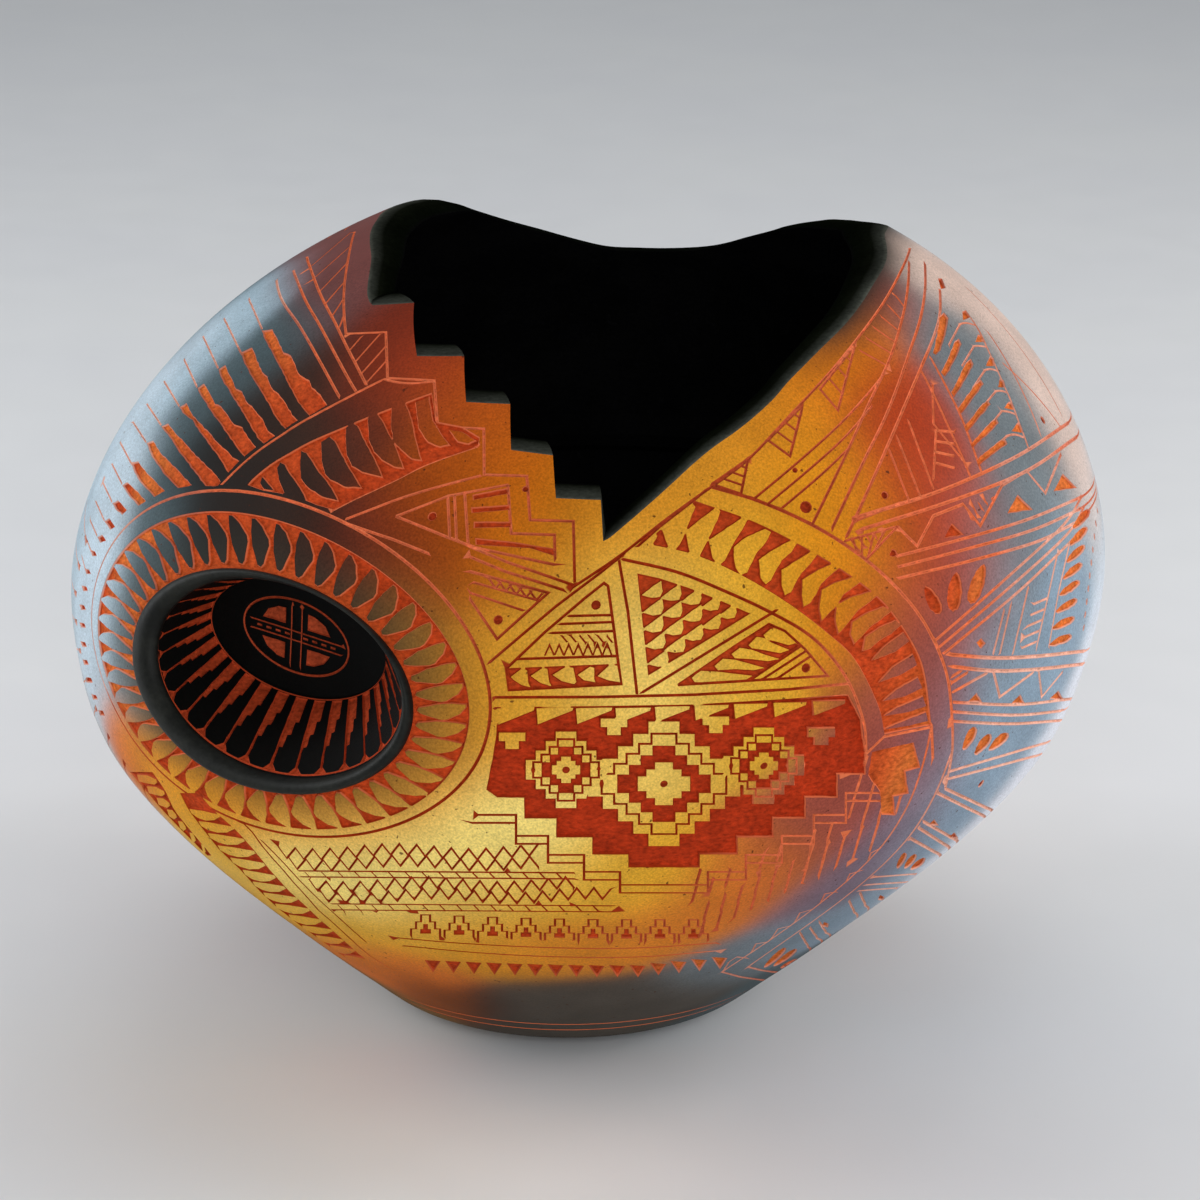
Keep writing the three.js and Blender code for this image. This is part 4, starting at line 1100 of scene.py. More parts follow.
def zones():
    """slip as it was sprayed, with pale painted sheen laid along the turning edges: each pass runs from one colour to
    another along a path, with a soft spread in mm
    """
    front = [
        # left shoulder, with pale painted sheen along its turning edge
        ("ice", "ice", 9, [(85, 650), (108, 500), (140, 400), (200, 345)]),
        ("mist", "mist", 8, [(165, 396), (258, 292)]),
        ("slate", "slate", 8, [(178, 420), (290, 335)]),
        ("soot", "umber", 9, [(205, 450), (270, 412), (318, 372)]),
        ("plum", "plum", 7, [(312, 262), (345, 226), (367, 245), (345, 300)]),
        # feather ring round the window
        ("soot", "umber", 9, [(200, 545), (235, 497), (300, 520), (345, 575)]),
        ("slate", "slate", 8, [(150, 508), (150, 590), (128, 655)]),
        ("mist", "olive", 8, [(106, 610), (165, 715)]),
        ("olive", "honey", 9, [(395, 625), (430, 690), (412, 765)]),
        ("honey", "honey", 9, [(412, 765), (330, 815), (172, 790)]),
        # steps and middle
        ("umber", "brick", 8, [(330, 440), (390, 430), (385, 330)]),
        ("brick", "brick", 8, [(370, 530), (410, 545)]),
        ("rust", "amber", 8, [(405, 372), (500, 450), (520, 560)]),
        ("cinnamon", "cinnamon", 9, [(440, 480), (450, 575)]),
        ("honey", "ochre", 10, [(480, 690), (570, 650), (610, 560)]),
        ("amber", "honey", 9, [(545, 510), (655, 520), (705, 470)]),
        ("honey", "amber", 8, [(705, 470), (832, 345)]),
        ("amber", "rose", 7, [(832, 345), (880, 290)]),
        ("ochre", "cream", 11, [(550, 705), (640, 705), (645, 640)]),
        ("ochre", "marigold", 10, [(705, 620), (835, 560)]),
        ("ochre", "ochre", 10, [(725, 540), (740, 690)]),
        # right flank
        ("marigold", "amber", 9, [(800, 480), (838, 466), (856, 552), (850, 640)]),
        ("rust", "rust", 8, [(910, 398), (880, 435), (896, 500), (908, 560), (898, 606)]),
        ("rust", "rose", 8, [(932, 442), (950, 478), (982, 562), (962, 622)]),
        ("pewter", "pewter", 10, [(960, 340), (1012, 430), (1042, 462)]),
        # painted pinkish-white sheen along the upper right turning edge
        ("blush", "blush", 11, [(930, 270), (1002, 306), (1050, 392), (1086, 470)]),
        ("pewter", "steel", 8, [(1000, 515), (1012, 592), (992, 662), (1002, 742)]),
        ("steel", "steel", 10, [(1072, 592), (1044, 692), (962, 782), (932, 842)]),
        # painted pale sheen along the lower right turning edge
        ("frost", "frost", 11, [(1096, 630), (1084, 672), (1054, 752), (1006, 806), (962, 862)]),
        # great arc
        ("rose", "mauve", 8, [(908, 604), (932, 664), (942, 724), (934, 778), (900, 842)]),
        ("rose", "rose", 8, [(890, 670), (850, 800)]),
        # below: pale left, mauve right, dark base
        ("terracotta", "ochre", 7, [(124, 748), (172, 790), (212, 842)]),
        ("ochre", "cream", 9, [(212, 842), (252, 882), (330, 882)]),
        ("cream", "cream", 11, [(330, 882), (420, 882), (510, 840)]),
        ("ochre", "ochre", 9, [(302, 922), (400, 938), (500, 900), (660, 880)]),
        ("terracotta", "terracotta", 7, [(352, 958), (415, 962)]),
        ("honey", "terracotta", 9, [(480, 948), (560, 945), (650, 938), (750, 880)]),
        ("terracotta", "rose", 9, [(750, 880), (800, 842)]),
        ("mauve", "mauve", 9, [(830, 892), (850, 880)]),
        ("terracotta", "umber", 6, [(420, 970), (430, 995), (474, 1000)]),
        ("moss", "moss", 9, [(530, 1008), (650, 996)]),
        ("pewter", "steel", 8, [(720, 966), (790, 935), (870, 905)]),
    ]
    sides = [
        ("mist", "slate", 26, [(-92, 120), (-120, 150)]),
        ("blush", "umber", 25, [(-100, 70), (-128, 100)]),
        ("terracotta", "rust", 24, [(-150, 60), (-160, 130)]),
        ("honey", "terracotta", 23, [(180, 100), (180, 150)]),
        ("ochre", "rust", 24, [(160, 60), (150, 130)]),
        ("pewter", "mist", 25, [(125, 110), (110, 150)]),
        ("steel", "mist", 23, [(100, 80), (90, 120)]),
        # painted pale sheen where the sides turn out of sight
        ("frost", "mist", 15, [(90, 98), (106, 58)]),
        ("blush", "mist", 14, [(90, 158), (112, 142)]),
        ("ice", "mist", 15, [(-88, 146), (-98, 80)]),
        ("steel", "pewter", 14, [(82, 48), (98, 36)]),
        ("olive", "olive", 21, [(140, 40), (-130, 36)]),
        ("slate", "moss", 20, [(90, 30), (110, 26)]),
        ("olive", "moss", 20, [(-90, 30), (-115, 26)]),
        ("moss", "moss", 22, [(172, 20), (188, 20)]),
    ]
    P, S, C = [], [], []

    def lay(uv, first, second, spread):
        q = np.array([body_point(u, v) for u, v in uv])
        run = np.concatenate([[0], np.cumsum(np.linalg.norm(np.diff(q, axis=0), axis=1))])
        n = max(2, int(round(run[-1] / (1.35 * spread))) + 1)
        for f in np.linspace(0, 1, n):
            P.append([np.interp(f * run[-1], run, q[:, k]) for k in range(3)])
            S.append(spread)
            C.append(lin(SLIP_AND_SHEEN_COLOURS[first]) * (1 - f) + lin(SLIP_AND_SHEEN_COLOURS[second]) * f)

    for first, second, spread, path in front:
        lay(seen(fine(path, 6)), first, second, spread)
    for first, second, spread, ends in sides:
        (d0, z0), (d1, z1) = ends
        d1 = d1 + 360 if d1 - d0 < -180 else d1
        f = np.linspace(0, 1, 12)
        lay([((math.radians(d) + PI) % (2 * PI) * BODY_R - PI * BODY_R, float(s_of_z(z))) for d, z in zip(d0 + (d1 - d0) * f, z0 + (z1 - z0) * f)], first, second, spread)
    return np.array(P), np.array(S, float), np.array(C)


ZP, ZS, ZC = zones()


def slip_and_sheen_colour(p):
    out = np.zeros((len(p), 3))
    for s in range(0, len(p), 20000):
        q = p[s:s + 20000]
        d2 = ((q[:, None, :] - ZP[None]) ** 2).sum(2)
        w = np.exp(-d2 / (2 * ZS[None] ** 2)) + 1e-7 / (1 + d2 / 100)
        out[s:s + 20000] = (w @ ZC) / w.sum(1, keepdims=True)
    return out


def clay_and_sheen_colour(slip, tone):
    """cut clay: red-orange ground, lighter on blue or dark slip; dark red lines on pale slip and salmon lines on dark
    or blue slip. The clay is one terracotta: the lighter ground and the salmon lines are painted sheen of the lit
    turning edges
    """
    lum = slip @ np.array([0.2126, 0.7152, 0.0722])
    warm = slip[:, 0] - slip[:, 2]
    pale = np.clip((lum - 0.16) / 0.18, 0, 1) * np.clip(warm / 0.25, 0, 1)
    ground = lin((182, 64, 26))[None] * np.ones((len(slip), 1))
    # painted sheen: the ground is made lighter on cool slip, where the turning edges catch the light
    lum_ = slip @ np.array([.3, .6, .1])
    share = slip[:, 2] / (slip[:, 0] + 1e-3)
    cool_sheen = (np.clip((share - .10) / .35, 0, 1) * np.clip(1 - (lum_ - .32) / .2, 0, 1) * np.clip(.05 + lum_ / .12, 0, 1))[:, None]
    blue = np.clip((share - .64) / .45, 0, 1)[:, None]
    ground = ground * (1 - cool_sheen) + lin((204, 106, 48))[None] * cool_sheen
    # painted sheen: the lines go from dark red on pale slip to pale salmon on blue or dark slip, and to light pink on
    # greyish slip
    dark_line = lin((152, 46, 14))
    dim = np.clip((lum - .07) / .2, 0, 1)[:, None]
    sheen_line = lin((218, 114, 74))[None] * (1 - blue) + (lin((198, 116, 92))[None] * (1 - dim) + lin((226, 172, 152))[None] * dim) * blue
    ln = dark_line[None] * pale[:, None] + sheen_line * (1 - pale[:, None])
    sat = 1 - slip.min(1) / (slip.max(1) + 1e-3)
    grey = (np.clip((.52 - sat) / .2, 0, 1) * np.clip((lum - .22) / .12, 0, 1) * np.clip(warm / .06, 0, 1))[:, None]
    ln = ln * (1 - grey) + lin((208, 126, 100))[None] * grey
    ln = np.where(np.isfinite(ln), ln, 0)
    out = np.where((tone == 1)[:, None], ln, ground)
    out = np.where((tone == 2)[:, None], lin((150, 48, 20))[None], out)
    out = np.where((tone == 3)[:, None], lin((170, 50, 20))[None], out)
    return out, ln


# =====================================================================  mesh writing
def face_normals(P, F):
    n = np.cross(P[F[:, 1]] - P[F[:, 0]], P[F[:, 2]] - P[F[:, 0]])
    l = np.linalg.norm(n, axis=1, keepdims=True)
    return n / np.maximum(l, 1e-12), l[:, 0] / 2


def smooth_normals(P, F, limit=40.0):
    """normal for each corner of each face: shared where faces meet gently, the face's own where they don't"""
    fn, ar = face_normals(P, F)
    vn = np.zeros_like(P)
    for k in range(3):
        np.add.at(vn, F[:, k], fn * ar[:, None])
    vn /= np.maximum(1e-12, np.linalg.norm(vn, axis=1, keepdims=True))
    out = vn[F]
    sharp = (out * fn[:, None, :]).sum(2) < math.cos(math.radians(limit))
    out[sharp] = np.broadcast_to(fn[:, None, :], out.shape)[sharp]
    return out


def write_mesh(name, P, F, mat_idx, corner_n, corner_uv, slip, clay, cut, mats, edge=None, corner_tone=None):
    """one object from triangles in millimetres, with colours, bake map and shading normals"""
    fn, ar = face_normals(P, F)
    ok = ar > 1e-9
    F, mat_idx, corner_n, corner_uv = F[ok], mat_idx[ok], corner_n[ok], corner_uv[ok]
    used = np.zeros(len(P), bool)
    used[F.ravel()] = True
    new = np.cumsum(used) - 1
    edge = (clay if edge is None else edge)[used]
    P, slip, clay, cut = P[used], slip[used], clay[used], cut[used]
    F = new[F]
    me = bpy.data.meshes.new(name)
    me.vertices.add(len(P))
    me.vertices.foreach_set("co", (P / 1000.0).astype(np.float32).ravel())
    me.loops.add(len(F) * 3)
    me.loops.foreach_set("vertex_index", F.astype(np.int32).ravel())
    me.polygons.add(len(F))
    me.polygons.foreach_set("loop_start", np.arange(0, len(F) * 3, 3, dtype=np.int32))
    me.polygons.foreach_set("material_index", mat_idx.astype(np.int32))
    me.update(calc_edges=True)
    for attr, col in (("slip", slip), ("clay", clay), ("edge", edge)):
        a = me.attributes.new(attr, "FLOAT_COLOR", "POINT")
        a.data.foreach_set("color", np.concatenate([col, np.ones((len(col), 1))], 1).astype(np.float32).ravel())
    a = me.attributes.new("cut", "FLOAT", "POINT")
    a.data.foreach_set("value", cut.astype(np.float32))
    uv = me.uv_layers.new(name="OFBake")
    uv.data.foreach_set("uv", corner_uv.astype(np.float32).ravel())
    me.polygons.foreach_set("use_smooth", np.ones(len(F), bool))
    me.normals_split_custom_set([tuple(v) for v in corner_n.reshape(-1, 3)])
    if corner_tone is not None:
        c = np.ones((len(F) * 3, 4), np.float32)
        c[:, :3] = corner_tone[ok].reshape(-1, 3)
        me.attributes.new("lip_tone_and_highlight", "FLOAT_COLOR", "CORNER").data.foreach_set("color", c.ravel())
    for m in mats:
        me.materials.append(m)
    ob = bpy.data.objects.new(name, me)
    bpy.context.scene.collection.objects.link(ob)
    return ob


def boundary_edges(F):
    e = np.concatenate([F[:, [0, 1]], F[:, [1, 2]], F[:, [2, 0]]])
    key = e[:, 0].astype(np.int64) * 10**7 + e[:, 1]
    rev = e[:, 1].astype(np.int64) * 10**7 + e[:, 0]
    return e[~np.isin(key, rev)]


# =====================================================================  body
HOLE = tuple((a + b) / 2 for a, b in zip(RIM_OUT, MOUTH))


def hole_loop():
    """edge of the cut-out behind the rim, with points on the seam height"""
    t = np.linspace(0, 2 * PI, 141)[:-1]
    s = math.asin((EQ_Z - HOLE[1]) / HOLE[3])
    t = np.sort(np.concatenate([t[(np.abs(t - (PI - s)) > 0.02) & (np.abs(t - (2 * PI + s)) > 0.02)], [PI - s, 2 * PI + s]]))
    p = win_to_chart(oval(HOLE, t))
    p[np.abs(p[:, 1] - S_EQ) < 1e-3, 1] = S_EQ
    return p


def inside_loop(q, loop):
    ins = np.zeros(len(q), bool)
    for a, b in zip(loop, np.roll(loop, -1, 0)):
        c = (a[1] > q[:, 1]) != (b[1] > q[:, 1])
        if c.any():
            dy = b[1] - a[1]
            xi = a[0] + (q[:, 1] - a[1]) * ((b[0] - a[0]) / (dy if abs(dy) > 1e-12 else 1e-12))
            ins ^= c & (q[:, 0] < xi)
    return ins


HOLEC = hole_loop()
V_TOP = float(LIPC[:, 1].max())
K_V = np.linspace(0, PS[-1], 400)
K_S = (K_V, Rz(z_of_s(K_V)) / BODY_R)


def body_grid(v0, v1, pitch):
    pts = []
    rows = int((v1 - v0) / (pitch * .87))
    for j in range(1, rows):
        v = v0 + (v1 - v0) * j / rows
        n = int(2 * PI * float(Rz(z_of_s(v))) / pitch)
        u = (np.arange(n) + (0.5 if j % 2 else 0.02)) / n * 2 * U_MAX - U_MAX
        for k, x in enumerate(u):
            if abs(x) < U_MAX - 1.0:
                pts.append((x + (rnd(j * 977 + k) - .5) * .3, v + (rnd(j * 613 + k * 7) - .5) * .3))
    return np.array(pts)


GRID = body_grid(S_FOOT, V_TOP, 3.4)
GRID = GRID[(GRID[:, 1] < lip_v(GRID[:, 0]) - 0.8) & (np.abs(GRID[:, 1] - S_EQ) > 0.6)]
GRID = GRID[~inside_loop(GRID, HOLEC)]
# closer points on the open carved field, for its tool marks
fld = seen(fine(FIELD, 8, True))
fu = np.arange(fld[:, 0].min(), fld[:, 0].max(), 1.25)
fv = np.arange(fld[:, 1].min(), fld[:, 1].max(), 1.0)
fg = np.array([(u + (.6 if j % 2 else 0) + (rnd(i * 31 + j * 17) - .5) * .4, v + (rnd(i * 13 + j * 71) - .5) * .3) for j, v in enumerate(fv) for i, u in enumerate(fu)])
fg = fg[inside_loop(fg, fld)]
fd, fc, ft = carve_depth(bd, fg, K_S)
fg = fg[fc > 0.99]
GRID = np.vstack([GRID, fg])

ring = np.linspace(-U_MAX, U_MAX, 241)
seam_v = np.concatenate([np.linspace(S_FOOT, S_EQ, 45), np.linspace(S_EQ, float(LIPC[0, 1]), 30)[1:]])
outl = [(LIPC, False), (HOLEC, True),
        (np.stack([ring, np.full(len(ring), S_FOOT)], -1), False),
        (np.stack([ring, np.full(len(ring), S_EQ)], -1), False),
        (np.stack([np.full(len(seam_v), -U_MAX), seam_v], -1), False),
        (np.stack([np.full(len(seam_v), U_MAX), seam_v], -1), False)]
BV, BF = chart_mesh(bd, outl, GRID, K_S)
print("chart", len(BV), len(BF), round(time.time() - T_START, 1))
cen = BV[BF].mean(1)
keep = (cen[:, 1] > S_FOOT) & (cen[:, 1] < lip_v(cen[:, 0])) & (np.abs(cen[:, 0]) < U_MAX)
keep &= ~inside_loop(cen, HOLEC)
BF = BF[keep]
a2 = BV[BF]
flip = ((a2[:, 1, 0] - a2[:, 0, 0]) * (a2[:, 2, 1] - a2[:, 0, 1]) - (a2[:, 1, 1] - a2[:, 0, 1]) * (a2[:, 2, 0] - a2[:, 0, 0])) < 0
BF[flip] = BF[flip][:, ::-1]
depth, cut, tone = carve_depth(bd, BV, K_S)
edge_fade = np.clip((lip_v(BV[:, 0]) - BV[:, 1]) / 1.0, 0, 1)
depth *= edge_fade
cut *= edge_fade
inf = inside_loop(BV, fld) & (cut > 0.99)
tool = value_noise(BV[:, 0] / 2.6, BV[:, 1] / 1.35, 3) + .5 * value_noise(BV[:, 0] / 1.2, BV[:, 1] / .9, 8)
depth = depth + np.where(inf, tool * 0.62, 0)
BN = body_normal(BV[:, 0], BV[:, 1])
BP0 = body_point(BV[:, 0], BV[:, 1])
BP = BP0 - BN * depth[:, None]
BODY_SLIP_AND_SHEEN = slip_and_sheen_colour(BP0)
# dark overspray beside the high right and back parts of the mouth
gap_ = np.clip(lip_v(BV[:, 0]) - BV[:, 1], 0, None)
gap_ = gap_ / np.sqrt(1 + ((lip_v(BV[:, 0] + .8) - lip_v(BV[:, 0] - .8)) / 1.6) ** 2)
lz = z_of_s(lip_v(BV[:, 0]))
side = np.clip((BP0[:, 0] - 46) / 12, 0, 1) * np.clip((lz - 164) / 8, 0, 1)
over = 0.88 * side * np.clip(1 - gap_ / (4.5 + 6 * np.clip((lz - 176) / 10, 0, 1)), 0, 1) ** 1.2
BODY_SLIP_AND_SHEEN = BODY_SLIP_AND_SHEEN * (1 - over[:, None]) + lin((40, 37, 32))[None] * over[:, None]
# soft dark spray round the window's rim
e_ = np.hypot((BP0 @ WH - RIM_OUT[0]) / RIM_OUT[2], (BP0[:, 2] - RIM_OUT[1]) / RIM_OUT[3])
halo = 0.66 * np.clip(1 - (e_ - 1) / .40, 0, 1) ** 1.1 * (BP0 @ WN > 60)
BODY_SLIP_AND_SHEEN = BODY_SLIP_AND_SHEEN * (1 - halo[:, None]) + lin((46, 46, 38))[None] * halo[:, None]
# the cut clay and the wall colour carry painted sheen, and the wall colour also paints shade on cut walls under pale
# slip
CLAY_AND_SHEEN, WALL_SHADE_AND_HIGHLIGHT = clay_and_sheen_colour(BODY_SLIP_AND_SHEEN, tone)
print("carved", round(time.time() - T_START, 1))

# shading: true surface on flat faces, the face's own on the walls of the cuts
fn, _ = face_normals(BP, BF)
cf = cut[BF]
flat = (cf.max(1) < 0.02) | (cf.min(1) > 0.985)
rough_floor = flat & inf[BF].any(1)
CN = np.where(flat[:, None, None], BN[BF], fn[:, None, :])
sm = smooth_normals(BP, BF[rough_floor], 60)
CN[rough_floor] = sm

# join the two sides of the back line
right = np.where(np.abs(BV[:, 0] - U_MAX) < 1e-4)[0]
left = np.where(np.abs(BV[:, 0] + U_MAX) < 1e-4)[0]
merge = np.arange(len(BV))
for r in right:
    j = left[np.argmin(np.abs(BV[left, 1] - BV[r, 1]))]
    if abs(BV[j, 1] - BV[r, 1]) < 0.02:
        merge[r] = j
BFM = merge[BF]


_st = chart_of(LIP[[LIP_STEPS - 1, 0]])
LIPC_STEP = (min(_st[:, 0]) - .5, max(_st[:, 0]) + .3)


def R_in(z):
    return np.interp(z, IZ_, IR_)


def inner_point(U, z):
    th = np.asarray(U, float) / BODY_R
    r = R_in(z)
    return np.stack([lean(z) + r * np.sin(th), -r * np.cos(th), np.asarray(z, float) + 0 * th], -1)


def lip_inner(p):
    """where the mouth cut meets the inside of the wall"""
    lo, hi = np.zeros(len(p)), np.full(len(p), 0.6)
    apex = np.tile(LIP_APEX, (len(p), 1))
    u = chart_of(p)[:, 0]
    on_steps = np.clip(np.minimum(u - LIPC_STEP[0] + 4, LIPC_STEP[1] - u) / 4, 0, 1)
    apex[:, 0] = apex[:, 0] * (1 - on_steps) + (p[:, 0] - 26) * on_steps
    for _ in range(40):
        m = (lo + hi) / 2
        q = p + (apex - p) * m[:, None]
        out = np.hypot(q[:, 0] - lean(q[:, 2]), q[:, 1]) > R_in(q[:, 2])
        lo = np.where(out, m, lo)
        hi = np.where(out, hi, m)
    return p + (apex - p) * hi[:, None]


def build_bowl(name, upper):
    mid = cen[keep][:, 1]
    sel = mid > S_EQ if upper else mid < S_EQ
    F, FU = BFM[sel], BF[sel]
    be = boundary_edges(F)
    bvs = np.unique(be)
    on_lip = np.abs(BV[bvs, 1] - lip_v(BV[bvs, 0])) < 0.05
    if not upper:
        on_lip[:] = False
    part = {}
    extra = []
    base = len(BV)
    lips = bvs[on_lip]
    lips = lips[np.argsort(BV[lips, 0])]
    li = lip_inner(BP[lips])
    for v, q in zip(lips, li):
        part[v] = q
    for v in bvs[~on_lip]:
        z = float(z_of_s(BV[v, 1]))
        z = EQ_Z if abs(z - EQ_Z) < 0.02 else z
        z = FOOT_TOP if abs(z - FOOT_TOP) < 0.02 else z
        part[v] = inner_point(BV[v, 0], z)
    # inner sheet
    keys = list(part)
    iu, iv = [], []
    for v in keys:
        q = part[v]
        u = math.atan2(q[0] - float(lean(q[2])), -q[1]) * BODY_R
        if abs(BV[v, 0] + U_MAX) < 1e-3:
            u = -U_MAX
        iu.append(u)
        iv.append(float(np.interp(q[2], IZ_, IS_)))
    pos = {v: (iu[i], iv[i]) for i, v in enumerate(keys)}
    verts, edges, tag = [], [], []
    seen_at = {}

    def put(v, shift=0):
        k = (v, shift)
        if k not in seen_at:
            seen_at[k] = len(verts)
            verts.append((pos[v][0] + shift * 2 * U_MAX, pos[v][1]))
            tag.append(v)
        return seen_at[k]

    for a, b in be:
        pa, pb = pos[a], pos[b]
        if abs(pa[0] - pb[0]) > U_MAX:
            # this edge crosses the back line
            if pa[0] < 0:
                edges.append((put(a, 1), put(b)))
            else:
                edges.append((put(a), put(b, 1)))
        else:
            edges.append((put(a), put(b)))
    back = [v for v in keys if abs(BV[v, 0] + U_MAX) < 1e-3]
    sv = np.array(sorted(pos[v][1] for v in back))
    for sft in (0, 1):
        ids = []
        for v in sorted(back, key=lambda v: pos[v][1]):
            ids.append(put(v, sft))
        col = np.linspace(sv[0], sv[-1], 24)[1:-1]
        n0 = len(verts)
        for c in col:
            verts.append((-U_MAX + sft * 2 * U_MAX, float(c)))
            tag.append(None)
        chain = [ids[0]] + list(range(n0, n0 + len(col))) + [ids[-1]]
        edges.extend(zip(chain[:-1], chain[1:]))
    v0, v1 = sv[0], max(p[1] for p in pos.values())
    rows = int((v1 - v0) / 5)
    lipi = np.array(sorted((pos[v] for v in lips), key=lambda p: p[0])) if upper else None
    zs_loop = None
    for j in range(1, rows):
        v = v0 + (v1 - v0) * j / rows
        n = int(2 * PI * float(np.interp(v, IS_, IR_)) / 6)
        for k in range(n):
            u = (k + (.5 if j % 2 else .0)) / n * 2 * U_MAX - U_MAX
            if abs(u) < U_MAX - 2 and (lipi is None or v < np.interp(u, lipi[:, 0], lipi[:, 1]) - 1.5) and abs(v - v0) > 1:
                verts.append((u, v))
                tag.append(None)
    res = delaunay_2d_cdt([Vector(p) for p in verts], edges, [], 0, 1e-5)
    IV = np.array([tuple(v) for v in res[0]])
    IF = np.array([f for f in res[2] if len(f) == 3], int)
    c2 = IV[IF].mean(1)
    hz = np.array([pos[v] for v in bvs[~on_lip]])
    k2 = (np.abs(c2[:, 0]) < U_MAX) & (c2[:, 1] > v0)
    if upper:
        k2 &= c2[:, 1] < np.interp(c2[:, 0], lipi[:, 0], lipi[:, 1])
    else:
        k2 &= c2[:, 1] < float(np.interp(EQ_Z, IZ_, IS_))
        k2 &= c2[:, 1] > float(np.interp(FOOT_TOP, IZ_, IS_))
    zc = np.interp(c2[:, 1], IS_, IZ_)
    k2 &= ~inside_loop(np.stack([c2[:, 0], s_of_z(zc)], -1), HOLEC)
    if upper:
        # the sheet is everything that can be reached from the right side without crossing an edge of it
        wall = {(min(e), max(e)) for e, s in zip(res[1], res[4]) if len(s)}
        by_edge = {}
        for i, f in enumerate(IF):
            for x, y in ((f[0], f[1]), (f[1], f[2]), (f[2], f[0])):
                by_edge.setdefault((min(x, y), max(x, y)), []).append(i)
        near = np.interp(c2[:, 0], lipi[:, 0], lipi[:, 1])
        todo = list(np.flatnonzero(k2 & (c2[:, 0] > .3 * U_MAX) & (c2[:, 0] < .9 * U_MAX) & (c2[:, 1] < near - 8) & (c2[:, 1] > v0 + 4)))
        got = np.zeros(len(IF), bool)
        got[todo] = True
        while todo:
            f = IF[todo.pop()]
            for x, y in ((f[0], f[1]), (f[1], f[2]), (f[2], f[0])):
                k = (min(x, y), max(x, y))
                if k not in wall:
                    for j in by_edge[k]:
                        if not got[j]:
                            got[j] = True
                            todo.append(j)
        print("sheet", int(k2.sum()), int(got.sum()), int((k2 != got).sum()))
        k2 = got
    IF = IF[k2]
    t3 = IV[IF]
    ccw = ((t3[:, 1, 0] - t3[:, 0, 0]) * (t3[:, 2, 1] - t3[:, 0, 1]) - (t3[:, 1, 1] - t3[:, 0, 1]) * (t3[:, 2, 0] - t3[:, 0, 0])) > 0
    IF[ccw] = IF[ccw][:, ::-1]
    IP = inner_point(IV[:, 0], np.interp(IV[:, 1], IS_, IZ_))
    inner_id = {}
    imerge = np.arange(len(IV))
    rr = np.where(np.abs(IV[:, 0] - U_MAX) < 1e-4)[0]
    ll = np.where(np.abs(IV[:, 0] + U_MAX) < 1e-4)[0]
    for r in rr:
        j = ll[np.argmin(np.abs(IV[ll, 1] - IV[r, 1]))]
        if abs(IV[j, 1] - IV[r, 1]) < 0.02:
            imerge[r] = j
    for o, src in enumerate(res[3]):
        for s in src:
            if tag[s] is not None:
                inner_id[tag[s]] = int(imerge[o])
                IP[imerge[o]] = part[tag[s]]
    IFM = imerge[IF] + base
    # lip: a softly rounded section from the outer edge to the inner edge
    P = [BP, IP]
    nxt = base + len(IP)
    sec = {}
    SECN = 5
    if upper:
        lp = BP[lips]
        tang = np.roll(lp, -1, 0) - np.roll(lp, 1, 0)
        e = li - lp
        m = np.cross(tang, e)
        m /= np.linalg.norm(m, axis=1, keepdims=True)
        us = BV[lips, 0]
        stepped = (us < float(LIPC_STEP[1])) & (us > float(LIPC_STEP[0]))
        bul = np.where(stepped, 0.30, 1.1)
        for _ in range(6):
            bul = (np.roll(bul, 1) + 2 * bul + np.roll(bul, -1)) / 4
        ex = []
        for k in range(1, SECN):
            c = k / SECN
            cc = 0.5 - 0.5 * math.cos(PI * c)
            q = lp + e * cc + m * (bul * (1 - abs(2 * cc - 1) ** 2.4))[:, None]
            ex.append(q)
        for i, v in enumerate(lips):
            sec[v] = [v] + [nxt + k * len(lips) + i for k in range(SECN - 1)] + [inner_id[v] + base]
        P.append(np.vstack(ex))
        nxt += (SECN - 1) * len(lips)
    lipset = set(lips.tolist())
    LF, WF = [], []
    for a, b in be:
        a, b = int(a), int(b)
        if a in lipset and b in lipset:
            for k in range(SECN):
                LF.append((sec[b][k], sec[a][k], sec[a][k + 1]))
                LF.append((sec[b][k], sec[a][k + 1], sec[b][k + 1]))
        else:
            ia, ib = inner_id[a] + base, inner_id[b] + base
            WF.append((b, a, ia))
            WF.append((b, ia, ib))
    # three-sided gaps left where the sheet meets the lip
    gaps = {(int(x), int(y)) for x, y in boundary_edges(np.vstack([g for g in (F, IFM, np.array(LF, int).reshape(-1, 3), np.array(WF, int).reshape(-1, 3))]))}
    both = gaps | {(y, x) for x, y in gaps}
    after = {}
    for x, y in sorted(both):
        after.setdefault(x, []).append(y)
    for x, y in sorted(both):
        for z in after[y]:
            if x < y < z and (z, x) in both:
                WF.append((y, x, z) if (x, y) in gaps else (x, y, z))
    P = np.vstack(P)
    nP = len(P)
    groups = [F, IFM, np.array(LF, int).reshape(-1, 3), np.array(WF, int).reshape(-1, 3)]
    allF = np.vstack(groups)
    mat = np.concatenate([np.full(len(g), k) for k, g in zip((0, 1, 2, 1), groups)])
    cn = [CN[sel], smooth_normals(P, groups[1], 50)]
    cn.append(smooth_normals(P, groups[2], 42) if len(groups[2]) else np.zeros((0, 3, 3)))
    cn.append(smooth_normals(P, groups[3], 30))
    vlo, vhi = (S_EQ, V_TOP) if upper else (S_FOOT, S_EQ)
    uvo = np.stack([BV[FU][..., 0] / (2 * U_MAX) + .5, (BV[FU][..., 1] - vlo) / (vhi - vlo) * .66 + .005], -1)
    ilo, ihi = IV[:, 1].min(), IV[:, 1].max()
    uvi = np.stack([IV[IF][..., 0] / (2 * U_MAX) * .98 + .5, (IV[IF][..., 1] - ilo) / (ihi - ilo) * .2 + .69], -1)

